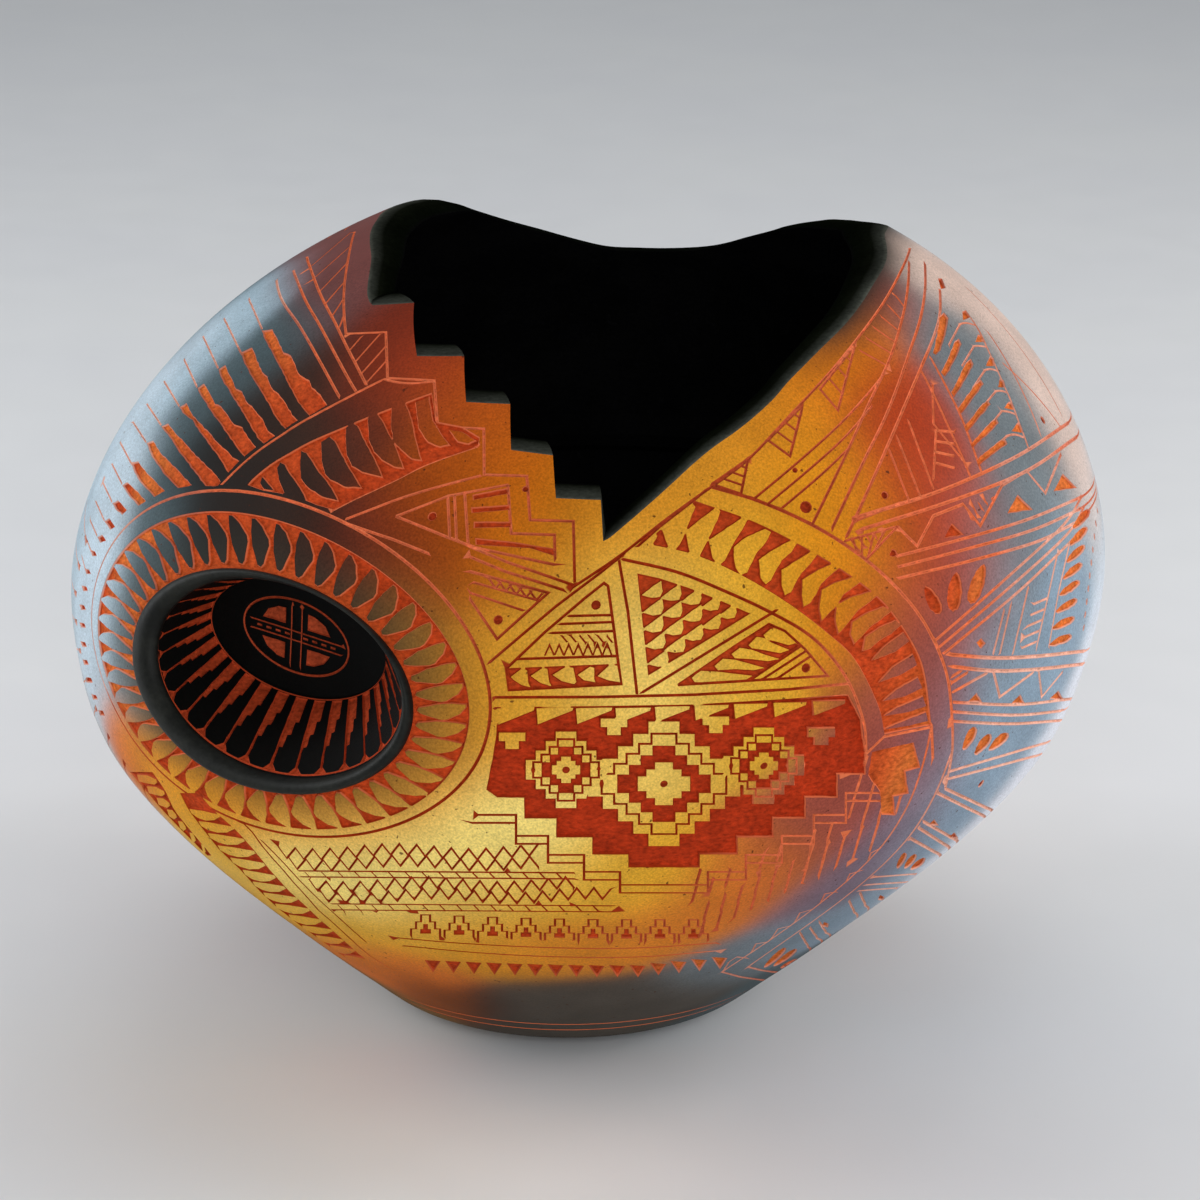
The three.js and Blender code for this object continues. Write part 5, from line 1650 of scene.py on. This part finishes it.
    def strip_uv(g, y0, y1):
        q = P[g]
        th = np.arctan2(q[..., 0], -q[..., 1])
        th = np.where((th.max(1) - th.min(1) > PI)[:, None] & (th < 0), th + 2 * PI, th)
        r = np.hypot(q[..., 0], q[..., 1])
        rr_ = (r - r.min()) / max(1e-6, r.max() - r.min()) if len(r) else r
        return np.stack([np.clip(th / (2 * PI) * .9 + .45, 0, 1), y0 + (y1 - y0) * rr_], -1)

    uvs = [uvo, uvi, strip_uv(groups[2], .90, .95) if len(groups[2]) else np.zeros((0, 3, 2)), strip_uv(groups[3], .955, .995)]
    pad = nP - len(BV)
    slip = np.vstack([BODY_SLIP_AND_SHEEN, np.tile(lin((8, 8, 8)), (pad, 1))])
    if upper:
        # the lip is dark slip running into the black of the inside; its lighter grey towards the outer edge, and across
        # the step treads, is painted highlight
        o0 = len(BV) + len(IP)
        for k in range(1, SECN):
            rows_ = slice(o0 + (k - 1) * len(lips), o0 + k * len(lips))
            g = np.where(stepped, (48, 44, 30, 12)[k - 1], (44, 11, 6, 5)[k - 1])
            slip[rows_] = lin(np.stack([g, g + 2, g - 3], -1).clip(4, 255))
        slip[[inner_id[v] + base for v in lips]] = lin((6, 6, 6))
        # painted highlight: pale grey along the outer edge of the lip
        lip_edge_highlight = slip.copy()
        lip_edge_highlight[lips] = lin((72, 73, 66))
    clay = np.vstack([CLAY_AND_SHEEN, np.tile(lin((150, 60, 30)), (pad, 1))])
    cutv = np.concatenate([cut, np.zeros(pad)])
    wall_shade_and_highlight_v = np.vstack([WALL_SHADE_AND_HIGHLIGHT, np.tile(lin((60, 40, 30)), (pad, 1))])
    return write_mesh(name, P, allF, mat, np.vstack(cn), np.vstack(uvs), slip, clay, cutv, [MAT["slip"], MAT["inside"], MAT["lip"]], wall_shade_and_highlight_v,
                      lip_edge_highlight[allF] if upper else None)




# =====================================================================  materials
class Nodes:
    def __init__(self, name):
        self.mat = bpy.data.materials.new(name)
        self.mat.use_nodes = True
        self.t = self.mat.node_tree
        self.t.nodes.clear()
        self.out = self.t.nodes.new("ShaderNodeOutputMaterial")
        self.b = self.t.nodes.new("ShaderNodeBsdfPrincipled")
        self.t.links.new(self.b.outputs[0], self.out.inputs[0])
        self.co = self.t.nodes.new("ShaderNodeTexCoord").outputs["Object"]

    def link(self, a, b):
        self.t.links.new(a, b)

    def noise(self, scale, detail=2.0, rough=0.5, stretch=None):
        n = self.t.nodes.new("ShaderNodeTexNoise")
        n.inputs["Scale"].default_value = scale
        n.inputs["Detail"].default_value = detail
        n.inputs["Roughness"].default_value = rough
        if stretch:
            m = self.t.nodes.new("ShaderNodeMapping")
            m.inputs["Scale"].default_value = stretch
            self.link(self.co, m.inputs[0])
            self.link(m.outputs[0], n.inputs[0])
        else:
            self.link(self.co, n.inputs[0])
        return n.outputs[0]

    def remap(self, src, a, b, c, d, smooth=False):
        n = self.t.nodes.new("ShaderNodeMapRange")
        n.interpolation_type = "SMOOTHSTEP" if smooth else "LINEAR"
        for i, v in zip((1, 2, 3, 4), (a, b, c, d)):
            n.inputs[i].default_value = v
        self.link(src, n.inputs[0])
        return n.outputs[0]

    def math(self, op, a, b):
        n = self.t.nodes.new("ShaderNodeMath")
        n.operation = op
        for i, v in enumerate((a, b)):
            if isinstance(v, (int, float)):
                n.inputs[i].default_value = v
            else:
                self.link(v, n.inputs[i])
        return n.outputs[0]

    def mix(self, fac, a, b, kind="MIX"):
        n = self.t.nodes.new("ShaderNodeMix")
        n.data_type = "RGBA"
        n.blend_type = kind
        for s, v in ((n.inputs[0], fac), (n.inputs[6], a), (n.inputs[7], b)):
            if isinstance(v, (int, float)):
                s.default_value = v
            elif isinstance(v, tuple):
                s.default_value = v
            else:
                self.link(v, s)
        return n.outputs[2]

    def scale(self, col, fac):
        """colour times a grey factor"""
        n = self.t.nodes.new("ShaderNodeVectorMath")
        n.operation = "SCALE"
        self.link(col, n.inputs[0])
        self.link(fac, n.inputs[3])
        return n.outputs[0]

    def attr(self, name, out):
        n = self.t.nodes.new("ShaderNodeAttribute")
        n.attribute_name = name
        return n.outputs[out]

    def bump(self, height, strength, distance, normal=None):
        n = self.t.nodes.new("ShaderNodeBump")
        n.inputs["Strength"].default_value = strength
        n.inputs["Distance"].default_value = distance
        self.link(height, n.inputs["Height"])
        if normal is not None:
            self.link(normal, n.inputs["Normal"])
        return n.outputs[0]


def rgb(c):
    v = lin(c)
    return (float(v[0]), float(v[1]), float(v[2]), 1.0)


def slip_material(name, rough0, rough1, spots=True):
    m = Nodes(name)
    m.b.inputs["Specular IOR Level"].default_value = 0.045
    slip, clay, cutf = m.attr("slip", "Color"), m.attr("clay", "Color"), m.attr("cut", "Fac")
    grain = m.noise(1900, 2.0, 0.6)
    cloud = m.noise(70, 3.0, 0.55)
    pits = m.noise(800, 1.0, 0.4)
    s = m.scale(slip, m.remap(grain, .3, .7, .78, 1.22))
    s = m.scale(s, m.remap(cloud, .3, .7, .90, 1.10))
    if spots:
        s = m.mix(m.remap(pits, .745, .79, 0, .8, True), s, rgb((70, 30, 14)))
    stip = m.noise(760, 3.0, 0.6, (1.0, 1.0, 1.7))
    patch = m.noise(190, 2.0, 0.5)
    c = m.scale(clay, m.remap(stip, .3, .7, .62, 1.30))
    c = m.scale(c, m.remap(patch, .3, .7, .84, 1.14))
    # painted shade and highlight on the walls of the cuts: the line colour is laid on them, darker than the ground
    # under pale slip and paler under blue or dark slip
    wall = m.math("MULTIPLY", m.remap(cutf, .06, .18, 0, .85, True), m.remap(cutf, .45, .85, 1, 0, True))
    c = m.mix(wall, c, m.attr("edge", "Color"))
    mask = m.remap(cutf, .04, .22, 0, 1, True)
    m.link(m.mix(mask, s, c), m.b.inputs["Base Color"])
    rs = m.remap(grain, .3, .7, rough0, rough1)
    m.link(m.math("ADD", m.math("MULTIPLY", rs, m.math("SUBTRACT", 1.0, mask)), m.math("MULTIPLY", mask, 0.82)), m.b.inputs["Roughness"])
    h = m.math("ADD", m.math("MULTIPLY", grain, 0.18), m.math("MULTIPLY", m.math("MULTIPLY", stip, mask), 1.5))
    m.link(m.bump(h, 0.5, 0.0004), m.b.inputs["Normal"])
    return m.mat


def dark_material(name, dark, pale, rough0, rough1, grain_scale=900, bump=0.25, spec=0.2, tone=None):
    m = Nodes(name)
    m.b.inputs["Specular IOR Level"].default_value = spec
    grain = m.noise(grain_scale, 3.0, 0.6)
    cloud = m.noise(60, 3.0, 0.6)
    wear = m.noise(260, 4.0, 0.65)
    if tone:
        c = m.scale(m.attr(tone, "Color"), m.remap(cloud, .32, .68, .75, 1.25))
    else:
        c = m.mix(m.remap(cloud, .32, .68, 0, 1, True), rgb(dark), rgb(pale))
    c = m.scale(c, m.remap(grain, .3, .7, .72, 1.28))
    if not tone:
        c = m.mix(m.remap(wear, .62, .74, 0, .35, True), c, rgb(tuple(min(255, v * 1.5 + 8) for v in pale)))
    m.link(c, m.b.inputs["Base Color"])
    m.link(m.remap(grain, .3, .7, rough0, rough1), m.b.inputs["Roughness"])
    m.link(m.bump(m.math("ADD", grain, m.math("MULTIPLY", wear, .6)), bump, 0.0003), m.b.inputs["Normal"])
    return m.mat


MAT = {
    "slip": slip_material("sprayed_slip_and_painted_sheen", .52, .70),
    "inside": dark_material("inside_black_slip", (9, 9, 10), (15, 15, 16), .70, .85, spec=.02),
    "lip": dark_material("lip_dark_slip_and_highlight", (34, 35, 32), (48, 48, 43), .60, .75, spec=0.0, tone="lip_tone_and_highlight"),
    "rim": dark_material("rim_burnished_slip", (20, 21, 19), (34, 35, 31), .46, .6, spec=.12),
    "recess": slip_material("recess_black_slip", .42, .60, False),
}

# =====================================================================  bowls
upper = build_bowl("pot_upper_bowl", True)
lower = build_bowl("pot_lower_bowl", False)
print("bowls", len(upper.data.polygons), len(lower.data.polygons), round(time.time() - T_START, 1))


# =====================================================================  foot
def build_foot():
    n = 180
    th = np.linspace(0, 2 * PI, n, endpoint=False)
    zs = np.concatenate([np.linspace(FOOT_TOP, 1.8, 12), [1.3, .9, .6, .35, .15, 0.0]])
    prof = [(float(Rz(z)), z, lean(z)) for z in zs]
    r0, l0 = prof[-1][0], float(lean(0))
    prof += [(r0 * .9, 0.0, l0), (r0 * .86, 0.5, l0), (r0 * .6, .8, l0), (r0 * .3, .9, l0), (.5, .95, l0)]
    top = [(.5, FOOT_TOP, float(lean(FOOT_TOP))), (24, FOOT_TOP, float(lean(FOOT_TOP))), (46, FOOT_TOP, float(lean(FOOT_TOP)))]
    loop = top + prof
    P, F, mat, cutv, tonev = [], [], [], [], []
    for r, z, l in loop:
        P.append(np.stack([l + r * np.sin(th), -r * np.cos(th), np.full(n, z)], -1))
    k = len(loop)
    Pv = np.vstack(P)
    for j in range(k - 1):
        for i in range(n):
            a, b = j * n + i, j * n + (i + 1) % n
            c, d = a + n, b + n
            F += [(a, c, b), (b, c, d)]
            mat += [1 if j < 2 else 0] * 2
    # small caps in the middle
    for j, flipc in ((0, False), (k - 1, True)):
        ci = len(Pv)
        Pv = np.vstack([Pv, Pv[j * n:(j + 1) * n].mean(0)[None]])
        for i in range(n):
            a, b = j * n + i, j * n + (i + 1) % n
            F.append((ci, a, b) if not flipc else (ci, b, a))
            mat.append(1 if not flipc else 0)
    F = np.array(F)
    fn_, _ = face_normals(Pv, F)
    # outward check on the side wall
    mid = F[2 * n * 6]
    outw = Pv[mid].mean(0) - np.array([l0, 0, 4])
    if np.dot(fn_[2 * n * 6], outw) < 0:
        F = F[:, ::-1]
    cn = smooth_normals(Pv, F, 38)
    slip = slip_and_sheen_colour(Pv)
    bottom = (np.hypot(Pv[:, 0] - l0, Pv[:, 1]) < r0 * .93) & (Pv[:, 2] < 1.2)
    cutv = bottom.astype(float)
    clay = np.tile(lin((168, 84, 48)), (len(Pv), 1))
    q = Pv[F]
    tq = np.arctan2(q[..., 0], -q[..., 1])
    tq = np.where((tq.max(1) - tq.min(1) > PI)[:, None] & (tq < 0), tq + 2 * PI, tq)
    acc = np.concatenate([[0], np.cumsum([math.hypot(loop[i + 1][0] - loop[i][0], loop[i + 1][1] - loop[i][1]) for i in range(k - 1)])])
    vv = np.concatenate([np.repeat(acc, n), [0, acc[-1]]])
    uv = np.stack([np.clip(tq / (2 * PI) * .9 + .45, 0, 1), .01 + .98 * vv[F] / acc[-1]], -1)
    return write_mesh("pot_foot_slab", Pv, F, np.array(mat), cn, uv, slip, clay, cutv, [MAT["slip"], MAT["inside"]])


foot = build_foot()


# =====================================================================  window rim, recess and its floor
def on_body(hz, lift=0.0):
    uv = win_to_chart(hz)
    return body_point(uv[:, 0], uv[:, 1]) + body_normal(uv[:, 0], uv[:, 1]) * lift


def build_rim():
    n, m = 200, 22
    t = np.linspace(0, 2 * PI, n, endpoint=False)
    ring_o, ring_i = oval(RIM_OUT, t), oval(MOUTH, t)
    rows = []
    for k in range(m + 1):
        a = PI * k / m
        c = 0.5 - 0.5 * math.cos(a)
        hz = ring_o + (ring_i - ring_o) * c
        # lower along the top, where it runs out into the shoulder
        lift = RIM_H * (0.64 - 0.34 * np.cos(t - 0.9)) * math.sin(a) ** 0.85 - 0.9 * (1 - math.sin(a))
        wob = 0.10 * np.sin(3 * t + .7) + 0.07 * np.sin(7 * t + 1.9)
        rows.append(on_body(hz) + body_normal(*win_to_chart(hz).T) * (lift + wob * math.sin(a))[:, None])
    # underside, set into the wall
    for c, dn in ((.8, -2.6), (.35, -2.6)):
        hz = ring_o + (ring_i - ring_o) * c
        uvp = win_to_chart(hz)
        rows.append(body_point(*uvp.T) + body_normal(*uvp.T) * dn)
    P = np.vstack(rows)
    k = len(rows)
    F = []
    for j in range(k):
        for i in range(n):
            a, b = j * n + i, j * n + (i + 1) % n
            c, d = ((j + 1) % k) * n + i, ((j + 1) % k) * n + (i + 1) % n
            F += [(a, b, d), (a, d, c)]
    F = np.array(F)
    fn_, _ = face_normals(P, F)
    probe = 2 * n * (m // 2)
    if np.dot(fn_[probe], WN) < 0:
        F = F[:, ::-1]
    cn = smooth_normals(P, F, 50)
    j_, i_ = np.divmod(np.arange(k * n), n)
    uq = (i_ / n)[F]
    uq = np.where((uq.max(1) - uq.min(1) > .5)[:, None] & (uq < .5), uq + 1, uq)
    vq = (j_ / k)[F]
    vq = np.where((vq.max(1) - vq.min(1) > .5)[:, None] & (vq < .5), vq + 1, vq)
    uv = np.stack([uq / (1 + 1 / n) * .99, vq / (1 + 1 / k) * .99], -1)
    z = np.zeros(len(P))
    g = np.tile(lin((40, 42, 38)), (len(P), 1))
    return write_mesh("pot_window_rim", P, F, np.zeros(len(F), int), cn, uv, g, g, z, [MAT["rim"]])


rim = build_rim()

# recess wall: a chart with U round the oval and V from the mouth to the floor
T_R, T_L, N_BLADE = 27.0, 27.0, 30


def mouth3(t):
    return on_body(oval(MOUTH, t)) - WN[None] * 0.4


def floor3(t):
    o = oval(FLOOR, t)
    return WN[None] * (FLOOR_N + 0.05) + WH[None] * o[:, :1] + np.array([[0, 0, 1.0]]) * o[:, 1:2]


def tun_point(U, V):
    t = np.asarray(U, float) / T_R
    v = np.asarray(V, float) / T_L
    a, b = mouth3(t), floor3(t)
    return a + (b - a) * v[:, None]


def tun_normal(U, V):
    e = 0.02
    du = tun_point(U + e, V) - tun_point(U - e, V)
    dv = tun_point(U, V + e) - tun_point(U, V - e)
    n = np.cross(du, dv)
    n /= np.linalg.norm(n, axis=1, keepdims=True)
    mid = WN * 110 + WH * (-4) + np.array([0, 0, 114.0])
    s = np.sign(((mid - tun_point(U, V)) * n).sum(1, keepdims=True))
    return n * s


td = Design()
pit = 2 * PI * T_R / N_BLADE
for i in range(N_BLADE):
    u0 = (i + .5) * pit
    V = lambda f: f * T_L
    j = .06 * (rnd(i) - .5)
    w = pit
    td.poly([(u0 - .26 * w, V(.055)), (u0 + .26 * w, V(.055)), (u0 + .06 * w, V(.13)), (u0 + .05 * w, V(.36 + j)), (u0 + .19 * w, V(.37 + j)),
             (u0 + .20 * w, V(.52 + j)), (u0 + .34 * w, V(.53 + j)), (u0 + .36 * w, V(.68 + j)), (u0 + .50 * w, V(.69 + j)), (u0 + .54 * w, V(.955)),
             (u0 - .10 * w, V(.955)), (u0 - .05 * w, V(.13))], "cut", .5, .24, step=2.0, rough=.07)
tt = np.linspace(0.02, 2 * PI * T_R - .02, 200)
td.stroke(np.stack([tt, np.full(200, .045 * T_L)], -1), .34, .36, 0)
td.stroke(np.stack([tt, np.full(200, .965 * T_L)], -1), .26, .3, 0)


def chart_piece(design, pos, nrm, U1, V1, pitch, kv):
    tr = np.linspace(0, U1, 181)
    sv = np.linspace(0, V1, 19)
    outl_ = [(np.stack([tr, np.zeros(181)], -1), False), (np.stack([tr, np.full(181, V1)], -1), False),
             (np.stack([np.zeros(19), sv], -1), False), (np.stack([np.full(19, U1), sv], -1), False)]
    g = []
    rows = int(V1 / pitch)
    for j in range(1, rows):
        for k in range(int(U1 / pitch)):
            u = (k + (.5 if j % 2 else .05)) * pitch
            if .5 < u < U1 - .5:
                g.append((u, V1 * j / rows))
    return chart_mesh(design, outl_, g, kv)


def build_tunnel():
    U1 = 2 * PI * T_R
    kv = (np.array([0, T_L]), np.array([1.05, .72]))
    V_, F_ = chart_piece(td, None, None, U1, T_L, 1.8, kv)
    uu = V_[F_][..., 0]
    F_ = F_[((uu > -1e-3) & (uu < U1 + 1e-3)).all(1)]
    dep, ct, tn = carve_depth(td, V_, kv)
    P0 = tun_point(V_[:, 0], V_[:, 1])
    N0 = tun_normal(V_[:, 0], V_[:, 1])
    P = P0 - N0 * dep[:, None]
    fn_, _ = face_normals(P, F_)
    bad = (fn_ * N0[F_].mean(1)).sum(1) < 0
    F_[bad] = F_[bad][:, ::-1]
    fn_, _ = face_normals(P, F_)
    cf_ = ct[F_]
    fl = (cf_.max(1) < .02) | (cf_.min(1) > .985)
    cn = np.where(fl[:, None, None], N0[F_], fn_[:, None, :])
    uvo = np.stack([V_[F_][..., 0] / U1 * .99 + .005, V_[F_][..., 1] / T_L * .7 + .005], -1)
    # join the ends of the chart
    mg = np.arange(len(V_))
    rr = np.where(np.abs(V_[:, 0] - U1) < 1e-4)[0]
    ll = np.where(np.abs(V_[:, 0]) < 1e-4)[0]
    for r in rr:
        mg[r] = ll[np.argmin(np.abs(V_[ll, 1] - V_[r, 1]))]
    FM = mg[F_]
    # outside of the recess wall, towards the inside of the pot
    b0 = np.where(np.abs(V_[:, 1]) < 1e-4)[0]
    b1 = np.where(np.abs(V_[:, 1] - T_L) < 1e-4)[0]
    b0 = b0[np.argsort(V_[b0, 0])][:-1]
    b1 = b1[np.argsort(V_[b1, 0])][:-1]
    n = len(b0)
    ang = V_[b0, 0] / T_R
    rowsP = []
    steps = 7
    for k in range(steps):
        f = k / (steps - 1)
        o = np.array(MOUTH) + (np.array(FLOOR) - np.array(MOUTH)) * f
        tw = 0.3 + (TUNNEL_WALL - 0.3) * min(1.0, 2.4 * f)
        hz = oval((o[0], o[1], o[2] + tw, o[3] + tw), ang)
        nn = (1 - f) * ((P0[b0] @ WN) - 1.5) + f * FLOOR_N
        rowsP.append(WN[None] * nn[:, None] + WH[None] * hz[:, :1] + np.array([[0, 0, 1.0]]) * hz[:, 1:2])
    base_ = len(P)
    PP = np.vstack([P] + rowsP)
    SF = []
    rowid = [b0] + [base_ + k * n + np.arange(n) for k in range(steps)] + [b1]
    for ra, rb in zip(rowid[:-1], rowid[1:]):
        for i in range(n):
            a, b, c, d = ra[i], ra[(i + 1) % n], rb[i], rb[(i + 1) % n]
            SF += [(a, b, d), (a, d, c)]
    SF = np.array(SF)
    f2, _ = face_normals(PP, SF)
    ctr = WN * 108 + WH * (-5) + np.array([0, 0, 114.0])
    pr = 2 * n * 4
    v = PP[SF[pr]].mean(0) - ctr
    if np.dot(f2[pr], v) < 0:
        SF = SF[:, ::-1]
    cn2 = smooth_normals(PP, SF, 40)
    iu = np.tile(np.arange(n), len(rowid))
    idx_u = {}
    uvl = []
    for j in range(len(rowid) - 1):
        for i in range(n):
            q = np.array([(i, j), (i + 1, j), (i + 1, j + 1), (i, j + 1)], float)
            q = q / [n, len(rowid) - 1] * [.99, .26] + [.005, .73]
            uvl += [q[[0, 1, 2]], q[[0, 2, 3]]]
    uv2 = np.array(uvl)
    if np.dot(f2[pr], v) < 0:
        uv2 = uv2[:, ::-1]
    allF = np.vstack([FM, SF])
    mat = np.concatenate([np.zeros(len(FM), int), np.ones(len(SF), int)])
    sl = np.tile(lin((13, 13, 12)), (len(PP), 1))
    cl = np.tile(lin((176, 66, 34)), (len(PP), 1))
    cv = np.concatenate([ct, np.zeros(len(PP) - len(P))])
    return write_mesh("pot_window_tunnel", PP, allF, mat, np.vstack([cn, cn2]), np.vstack([uvo, uv2]), sl, cl, cv, [MAT["recess"], MAT["inside"]])


tunnel = build_tunnel()


# floor of the recess, with an oval emblem: ring, crossed bands, four blocks and dashes
def build_window_floor():
    fd_ = Design()
    c = np.array([-11.0, 114.65])
    A_, B_, tilt = 15.4, 8.7, math.radians(-4)

    def E(x, y):
        return (c[0] + x * math.cos(tilt) - y * math.sin(tilt), c[1] + x * math.sin(tilt) + y * math.cos(tilt))

    t = np.linspace(0, 2 * PI, 73)
    fd_.stroke([E(A_ * math.cos(a), B_ * math.sin(a)) for a in t], .30, .34, 0, step=1.5)
    for s in (-1, 1):
        fd_.stroke([E(s * 1.5, y) for y in (-6.9, 6.9)], .2, .28, 0, step=1.5)
        fd_.stroke([E(x, s * 1.1) for x in (-13.2, 13.2)], .2, .28, 0, step=1.5)
        for q in (-1, 1):
            fd_.poly([E(s * 3.2, q * 2.3), E(s * 10.0, q * 2.3), E(s * 8.4, q * 4.6), E(s * 5.4, q * 6.0), E(s * 3.2, q * 6.2)], "cut", .45, .22, step=1.5, rough=.05)
    for k in range(-4, 5):
        if k:
            x = k * 2.7
            fd_.poly([E(x - .75, -.28), E(x + .75, -.28), E(x + .75, .28), E(x - .75, .28)], "cut", .36, .15, step=1.0)
    n = 160
    ang = np.linspace(0, 2 * PI, n, endpoint=False)
    edge = oval((FLOOR[0], FLOOR[1], FLOOR[2] + 1.2, FLOOR[3] + 1.2), ang)
    g = []
    for j, y in enumerate(np.arange(FLOOR[1] - FLOOR[3], FLOOR[1] + FLOOR[3], 1.3)):
        for k, x in enumerate(np.arange(FLOOR[0] - FLOOR[2], FLOOR[0] + FLOOR[2], 1.5)):
            xx = x + (.75 if j % 2 else 0)
            if ((xx - FLOOR[0]) / (FLOOR[2] + .5)) ** 2 + ((y - FLOOR[1]) / (FLOOR[3] + .5)) ** 2 < 1:
                g.append((xx, y))
    kv = (np.array([0, 300.0]), np.array([1.0, 1.0]))
    V_, F_ = chart_mesh(fd_, [(edge, True)], g, kv, 0.002)
    dep, ct, tn = carve_depth(fd_, V_, kv)
    # a very slightly dished face
    rr = ((V_[:, 0] - FLOOR[0]) / (FLOOR[2] + 1.2)) ** 2 + ((V_[:, 1] - FLOOR[1]) / (FLOOR[3] + 1.2)) ** 2
    nn = FLOOR_N - .55 * np.clip(1 - rr, 0, 1) - dep
    P = WN[None] * nn[:, None] + WH[None] * V_[:, :1] + np.array([[0, 0, 1.0]]) * V_[:, 1:2]
    fn_, _ = face_normals(P, F_)
    bad = fn_ @ WN < 0
    F_[bad] = F_[bad][:, ::-1]
    fn_, _ = face_normals(P, F_)
    cf_ = ct[F_]
    fl = (cf_.max(1) < .02) | (cf_.min(1) > .985)
    cn = np.where(fl[:, None, None], smooth_normals(P, F_, 60), fn_[:, None, :])
    be = boundary_edges(F_)
    bv = np.unique(be)
    base_ = len(P)
    # rounded back edge and back face
    rows = [(1.0, 0.6), (1.0, FLOOR_T - 1.2), (.98, FLOOR_T - .4), (.94, FLOOR_T), (.5, FLOOR_T)]
    idm = {int(v): i for i, v in enumerate(bv)}
    ex = []
    for f, dn in rows:
        q = np.array(FLOOR[:2]) + (V_[bv] - np.array(FLOOR[:2])) * f
        ex.append(WN[None] * (FLOOR_N - dn) + WH[None] * q[:, :1] + np.array([[0, 0, 1.0]]) * q[:, 1:2])
    PP = np.vstack([P] + ex + [WN[None] * (FLOOR_N - FLOOR_T) + WH[None] * FLOOR[0] + np.array([[0, 0, FLOOR[1]]])])
    m = len(bv)
    SF = []
    for a, b in be:
        ia, ib = idm[int(a)], idm[int(b)]
        ra = [a] + [base_ + k * m + ia for k in range(len(rows))]
        rb = [b] + [base_ + k * m + ib for k in range(len(rows))]
        for k in range(len(rows)):
            SF += [(rb[k], ra[k], ra[k + 1]), (rb[k], ra[k + 1], rb[k + 1])]
        SF.append((rb[-1], ra[-1], len(PP) - 1))
    SF = np.array(SF)
    cn2 = smooth_normals(PP, SF, 40)
    allF = np.vstack([F_, SF])
    hz = np.stack([PP @ WH, PP[:, 2]], -1)
    uv = (hz - np.array([FLOOR[0] - 30, FLOOR[1] - 18])) / np.array([60, 36])
    uvc = uv[allF]
    front = np.arange(len(allF)) < len(F_)
    uvc = np.where(front[:, None, None], uvc * [.98, .62] + [.01, .01], uvc * [.98, .33] + [.01, .66])
    mat = np.where(front, 0, 1)
    sl = np.tile(lin((13, 13, 12)), (len(PP), 1))
    cl = np.tile(lin((170, 70, 40)), (len(PP), 1))
    cv = np.concatenate([ct, np.zeros(len(PP) - len(P))])
    return write_mesh("pot_window_floor", PP, allF, mat, np.vstack([cn, cn2]), uvc, sl, cl, cv, [MAT["recess"], MAT["inside"]])


wfloor = build_window_floor()
print("window", round(time.time() - T_START, 1))

for ob, node, slot in ((upper, "upper_bowl", "slip_clay"), (lower, "lower_bowl", "slip_clay"), (foot, "foot_slab", "foot_slip"),
                       (rim, "window_rim", "rim_slip"), (tunnel, "window_tunnel", "recess_slip"), (wfloor, "window_floor", "recess_slip")):
    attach(ob, "root")
    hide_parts(node)
for nm in ("foot_luting_coil", "equator_luting_coil", "floor_luting_coil", "window_luting_coil"):
    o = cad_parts[nm]
    for sl_ in o.material_slots:
        sl_.material = MAT["inside"]

# =====================================================================  stage
bpy.ops.mesh.primitive_grid_add(x_subdivisions=24, y_subdivisions=24, size=9.0, location=(0, 1.5, 0))
ground = bpy.context.object
ground.name = "floor"
gm = Nodes("pale_floor")
gc = gm.mix(gm.remap(gm.noise(9, 3, .5), .3, .7, 0, 1, True), rgb((226, 227, 228)), rgb((224, 225, 227)))
gm.link(gc, gm.b.inputs["Base Color"])
gm.link(gm.remap(gm.noise(40, 2, .5), .3, .7, .55, .7), gm.b.inputs["Roughness"])
ground.data.materials.append(gm.mat)

cam = bpy.data.cameras.new("camera")
cam.lens = 36.0 * FPX / 1200.0
cam.sensor_width = 36.0
cam.clip_start, cam.clip_end = 0.05, 50
co = bpy.data.objects.new("camera", cam)
co.location = CAM / 1000.0
co.rotation_euler = (math.radians(90) - ELEV, 0, 0)
bpy.context.scene.collection.objects.link(co)
bpy.context.scene.camera = co


def soft_light(name, where, aim, size, power, colour=(1, 1, 1)):
    d = bpy.data.lights.new(name, "AREA")
    d.shape = "RECTANGLE"
    d.size, d.size_y = size
    d.energy = power
    d.color = colour
    o = bpy.data.objects.new(name, d)
    o.location = where
    o.rotation_euler = (Vector(aim) - Vector(where)).to_track_quat("-Z", "Y").to_euler()
    bpy.context.scene.collection.objects.link(o)


soft_light("key", (.20, -1.55, .52), (0, 0, .09), (.9, .9), 11.0)
soft_light("left_strip", (-1.25, .25, .45), (0, 0, .12), (.5, 1.2), 13, (.96, .98, 1))
soft_light("right_strip", (1.25, .15, .5), (0, 0, .12), (.5, 1.2), 13, (1, .98, .97))
soft_light("top", (.1, .6, 1.7), (0, 0, .1), (1.2, .8), 5)

w = bpy.data.worlds.new("studio")
bpy.context.scene.world = w
w.use_nodes = True
w.node_tree.nodes["Background"].inputs[0].default_value = (.82, .86, .9, 1)
w.node_tree.nodes["Background"].inputs[1].default_value = .35
bpy.context.scene.view_settings.view_transform = "Standard"

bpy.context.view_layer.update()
print("made in", round(time.time() - T_START, 1))
